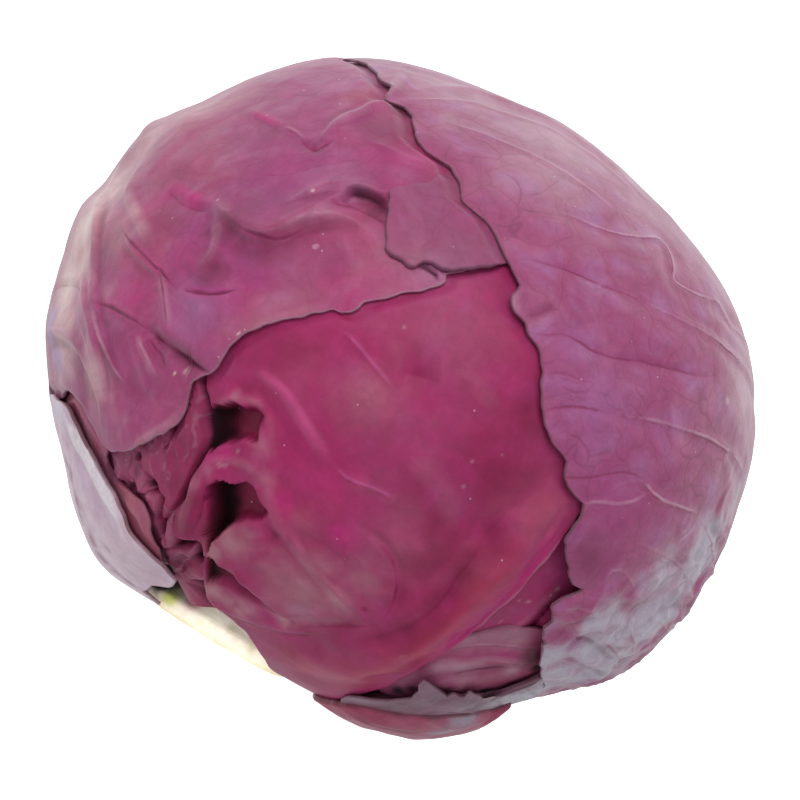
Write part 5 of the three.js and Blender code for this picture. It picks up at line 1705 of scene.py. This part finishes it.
def stem_piece():
    """The cut stem: a flat oval foot, a swollen ring above it, and a ribbed side."""
    sides, rows = 160, 60
    widths, heights = STEM_PROFILE.T
    along = np.concatenate([[0], np.cumsum(np.hypot(np.diff(heights) * 1.1, np.diff(widths)))])
    t = np.linspace(0, along[-1], rows + 2)[1:-1]
    w, h = np.interp(t, along, widths), np.interp(t, along, heights)
    turns = np.arange(sides) / sides * TURN
    x = w[:, None] * np.cos(turns) * STEM_X
    y = w[:, None] * np.sin(turns) * STEM_Y
    z = np.repeat(h[:, None] * STEM_HEIGHT, sides, 1)
    p = np.stack([x, y, z], -1).reshape(-1, 3)
    on_side = smooth(0.3, 1.0, np.hypot(p[:, 0] / STEM_X, p[:, 1] / STEM_Y))
    ridges = noise(p * [1, 1, 0.35], 2.4, 1) * 0.28 + noise(p, 5, 2) * 0.3
    p = p - unit(p * [1, 1, 0]) * (np.maximum(0, 0.35 + ridges) * on_side)[:, None]
    p[:, 0] -= STEM_FLARE * smooth(7, 1.5, p[:, 2]) * smooth(0.2, 0.9, -p[:, 0] / STEM_X)
    p[:, 2] = np.maximum(p[:, 2] + 0.25 * noise(p, 4, 3) * (h.repeat(sides) < 0.02), 0.0)
    points = np.concatenate([[[0, 0, 0.15]], p, [[0, 0, STEM_HEIGHT]]])
    at = on_sheet(points)

    def spot_at(x, y, wide):
        return np.exp(-(((at - (x, y)) ** 2).sum(1) / wide**2)) * (points[:, 1] < 2)

    marks = fresh_marks(len(points))
    marks["rim"] = smooth(1.4, 0.2, points[:, 2])
    marks["bloom"] = np.maximum(spot_at(170, 598, 10), 0.6 * spot_at(200, 622, 6))
    marks["hot"] = np.maximum(smooth(12, 16, points[:, 2]) * 0.5, spot_at(194, 602, 7))
    # darker spots on the stem along the front leaf's edge: painted shade
    marks["deep"] = 0.6 * np.maximum(spot_at(232, 628, 5), spot_at(252, 648, 6))
    faces = [face[::-1] for face in closed_faces(sides, rows)]
    return add_mesh("stem_flesh", points, faces, marks, STEM_LOOK, "cut_stem")


STEM_LOOK = leaf_material(
    "stem", "#f5eedf", "#f0e9d0", "#c0487c", "#f8f2e0", "#a09468", "#c6c95c", "#f6f0dc", "#d8c9a0",
    cell="#f4efd2", cells=0.3, net=0.08, net_tone="#e0d4a4", dust=0.3, rough=0.6, sheen=0.0,
)


# ---- the leaves -------------------------------------------------------------------------------
def bare_of(*covers):
    """A field that is 1 where a margin is in the open and 0 under the leaves that cover it."""
    def read(d, start=5, end=0.8):
        out = np.ones(d.shape[:-1])
        for cover in covers:
            out = out * (1 - underneath(cover, d, start, end))
        return out * (1 - petiole(d))
    return read


leaf_piece("right_leaf_skin", "right_leaf", right, RIGHT_LOOK, RIGHT_LINES, RIGHT_SPOTS,
           size=(430, 172), front_share=2.4, lift=-0.4, free=bare_of(left_outer), wrinkle=0.10)
leaf_piece("right_leaf_base", "right_leaf", strip, BASE_LOOK, STRIP_LINES, STRIP_SPOTS,
           size=(320, 50), front_share=1.8, lift=0.3, free=bare_of(), wrinkle=0.16, seed=3)
leaf_piece("top_leaf_skin", "top_leaf", top, TOP_LOOK, TOP_LINES, TOP_SPOTS, size=(430, 172),
           front_share=2.6, lift=-0.3, free=bare_of(right, left_outer, back), seed=1, hidden=1.3)
leaf_piece("top_leaf_fold", "top_leaf", fold, FOLD_LOOK, {}, {}, size=(200, 60), roll=0.5,
           free=bare_of(right), seed=2)
leaf_piece("left_outer_skin", "left_outer_leaf", left_outer, PALE_LOOK, LEFT_LINES, LEFT_SPOTS,
           size=(240, 80), front_share=1.4, lift=0.15, free=bare_of(), seed=3)
leaf_piece("left_inner_skin", "left_inner_leaf", left_inner, MIDDLE_LOOK, MIDDLE_LINES, MIDDLE_SPOTS,
           size=(180, 60), lift=0.2, free=bare_of(top, left_outer), seed=4)
leaf_piece("front_leaf_skin", "front_leaf", front, FRONT_LOOK, FRONT_LINES, FRONT_SPOTS,
           size=(430, 172), roll=1.4, free=bare_of(top, right), wrinkle=0.09, seed=5, hidden=2.2)
leaf_piece("lower_inner_skin", "lower_inner_leaf", lower_inner, INNER_LOOK, LOWER_LINES, LOWER_SPOTS,
           size=(200, 66), roll=1.2, free=bare_of(right), wrinkle=0.15, seed=6)
leaf_piece("lower_inner_behind", "lower_inner_leaf", behind_lower, FRONT_LOOK, BEHIND_LINES,
           BEHIND_SPOTS, size=(120, 40), wrinkle=0.15, seed=2)
leaf_piece("back_leaf_skin", "back_leaf", back, RIGHT_LOOK, BACK_LINES, BACK_SPOTS,
           size=(220, 90), seed=7)
leaf_piece("bottom_leaf_skin", "bottom_leaf", bottom, STUB_LOOK, STUB_LINES, STUB_SPOTS,
           size=(180, 44), roll=0.9, free=bare_of(), wrinkle=0.2, seed=1)
ruffles_piece()
stem = stem_piece()


# ---- camera, light and floor ------------------------------------------------------------------
SIDE_ON = np.array([COS, 0, SIN])
PICTURE_UP = np.array([-SIN, 0, COS])
TOWARD = np.array([0, -1.0, 0])


def matrix_of(right_axis, up_axis, back_axis, place):
    columns = np.eye(4)
    columns[:3, 0], columns[:3, 1], columns[:3, 2], columns[:3, 3] = right_axis, up_axis, back_axis, place
    return Matrix(columns.tolist())


def add_light(name, direction, distance, size, watts, colour=(1, 1, 1)):
    """A round lamp in a direction from the head's middle."""
    light = bpy.data.lights.new(name, "AREA")
    light.shape, light.size, light.energy, light.color = "DISK", size, watts, colour
    lamp = bpy.data.objects.new(name, light)
    bpy.context.scene.collection.objects.link(lamp)
    back_axis = unit(direction)
    right_axis = unit(np.cross([0.1, 0.3, 1.0], back_axis))
    place = CENTRE * 0.001 + back_axis * distance
    lamp.matrix_world = matrix_of(right_axis, np.cross(back_axis, right_axis), back_axis, place)
    return lamp


camera = bpy.data.cameras.new("camera")
camera.lens, camera.sensor_width = 150, 36
camera.clip_start, camera.clip_end = 0.05, 20
eye = bpy.data.objects.new("camera", camera)
bpy.context.scene.collection.objects.link(eye)
eye.matrix_world = matrix_of(SIDE_ON, PICTURE_UP, TOWARD, EYE * 0.001)
bpy.context.scene.camera = eye

add_light("key", PICTURE_UP * 0.62 + SIDE_ON * 0.2 + TOWARD * 0.9, 0.8, 0.5, 2.1, (1.0, 0.985, 0.97))

# A small light from below is for the stem only.
table = add_light("table", -SIDE_ON * 0.3 - PICTURE_UP * 0.8 + TOWARD * 0.7, 0.3, 0.1, 0.6)
lit = bpy.data.collections.new("lit_by_table")
lit.objects.link(stem)
table.light_linking.receiver_collection = lit
table.light_linking.blocker_collection = lit

# The sky light is bright behind and above the head and dim in front of it and below.
world = bpy.data.worlds.new("studio")
world.use_nodes = True
sky = world.node_tree
background = sky.nodes["Background"]
toward_light = sky.nodes.new("ShaderNodeTexCoord").outputs["Generated"]


def sky_ramp(axis, low, high, dark, bright):
    """Brightness that rises softly along an axis."""
    along = sky.nodes.new("ShaderNodeVectorMath")
    along.operation = "DOT_PRODUCT"
    sky.links.new(toward_light, along.inputs[0])
    along.inputs[1].default_value = unit(axis).tolist()
    ramp = sky.nodes.new("ShaderNodeMapRange")
    ramp.interpolation_type = "SMOOTHSTEP"
    sky.links.new(along.outputs["Value"], ramp.inputs["Value"])
    for key, value in (("From Min", low), ("From Max", high), ("To Min", dark), ("To Max", bright)):
        ramp.inputs[key].default_value = value
    return ramp.outputs[0]


def sky_math(operation, a, b):
    node = sky.nodes.new("ShaderNodeMath")
    node.operation = operation
    sky.links.new(a, node.inputs[0])
    sky.links.new(b, node.inputs[1])
    return node.outputs[0]


above = sky_ramp(PICTURE_UP, -0.7, 0.5, 0.12, 1.0)
behind = sky_math("MULTIPLY", sky_ramp(-TOWARD, -0.3, 0.7, 0.0, 0.42), above)
total = sky_math("ADD", behind, sky_ramp(PICTURE_UP * 0.9, -0.9, 0.9, 0.56, 0.66))
background.inputs[0].default_value = (1, 1, 1, 1)
sky.links.new(total, background.inputs[1])
bpy.context.scene.world = world
bpy.context.scene.view_settings.view_transform = "Standard"
bpy.context.scene.view_settings.look = "None"

# A white floor and a white dome that only the camera sees.
paper = bpy.data.materials.new("paper")
paper.use_nodes = True
paper_shader = paper.node_tree.nodes["Principled BSDF"]
paper_shader.inputs["Base Color"].default_value = (0.8, 0.8, 0.8, 1)
paper_shader.inputs["Roughness"].default_value = 0.9
paper_shader.inputs["Emission Color"].default_value = (1, 1, 1, 1)
paper_shader.inputs["Emission Strength"].default_value = 1.0


def backdrop(name, points, faces):
    mesh = bpy.data.meshes.new(name)
    mesh.from_pydata(points, [], faces)
    mesh.materials.append(paper)
    piece = bpy.data.objects.new(name, mesh)
    bpy.context.scene.collection.objects.link(piece)
    piece.visible_diffuse = piece.visible_glossy = piece.visible_transmission = piece.visible_shadow = False


SPAN = 4.0
DOME_SINK = 0.01
backdrop("floor", [(-SPAN, -SPAN, 0), (SPAN, -SPAN, 0), (SPAN, SPAN, 0), (-SPAN, SPAN, 0)], [(0, 1, 2, 3)])
DOME_SIDES, DOME_ROWS = 32, 8
dome_points, dome_faces = [], []
for row in range(DOME_ROWS):
    rise = row * math.pi / 2 / DOME_ROWS
    for k in range(DOME_SIDES):
        turn = k * TURN / DOME_SIDES
        out = SPAN * math.cos(rise)
        dome_points.append((out * math.cos(turn), out * math.sin(turn), SPAN * math.sin(rise) - DOME_SINK))
        here, beside = row * DOME_SIDES + k, row * DOME_SIDES + (k + 1) % DOME_SIDES
        if row < DOME_ROWS - 1:
            dome_faces.append((here, beside, beside + DOME_SIDES, here + DOME_SIDES))
dome_faces.append(tuple((DOME_ROWS - 1) * DOME_SIDES + k for k in range(DOME_SIDES)))
backdrop("dome", dome_points, dome_faces)
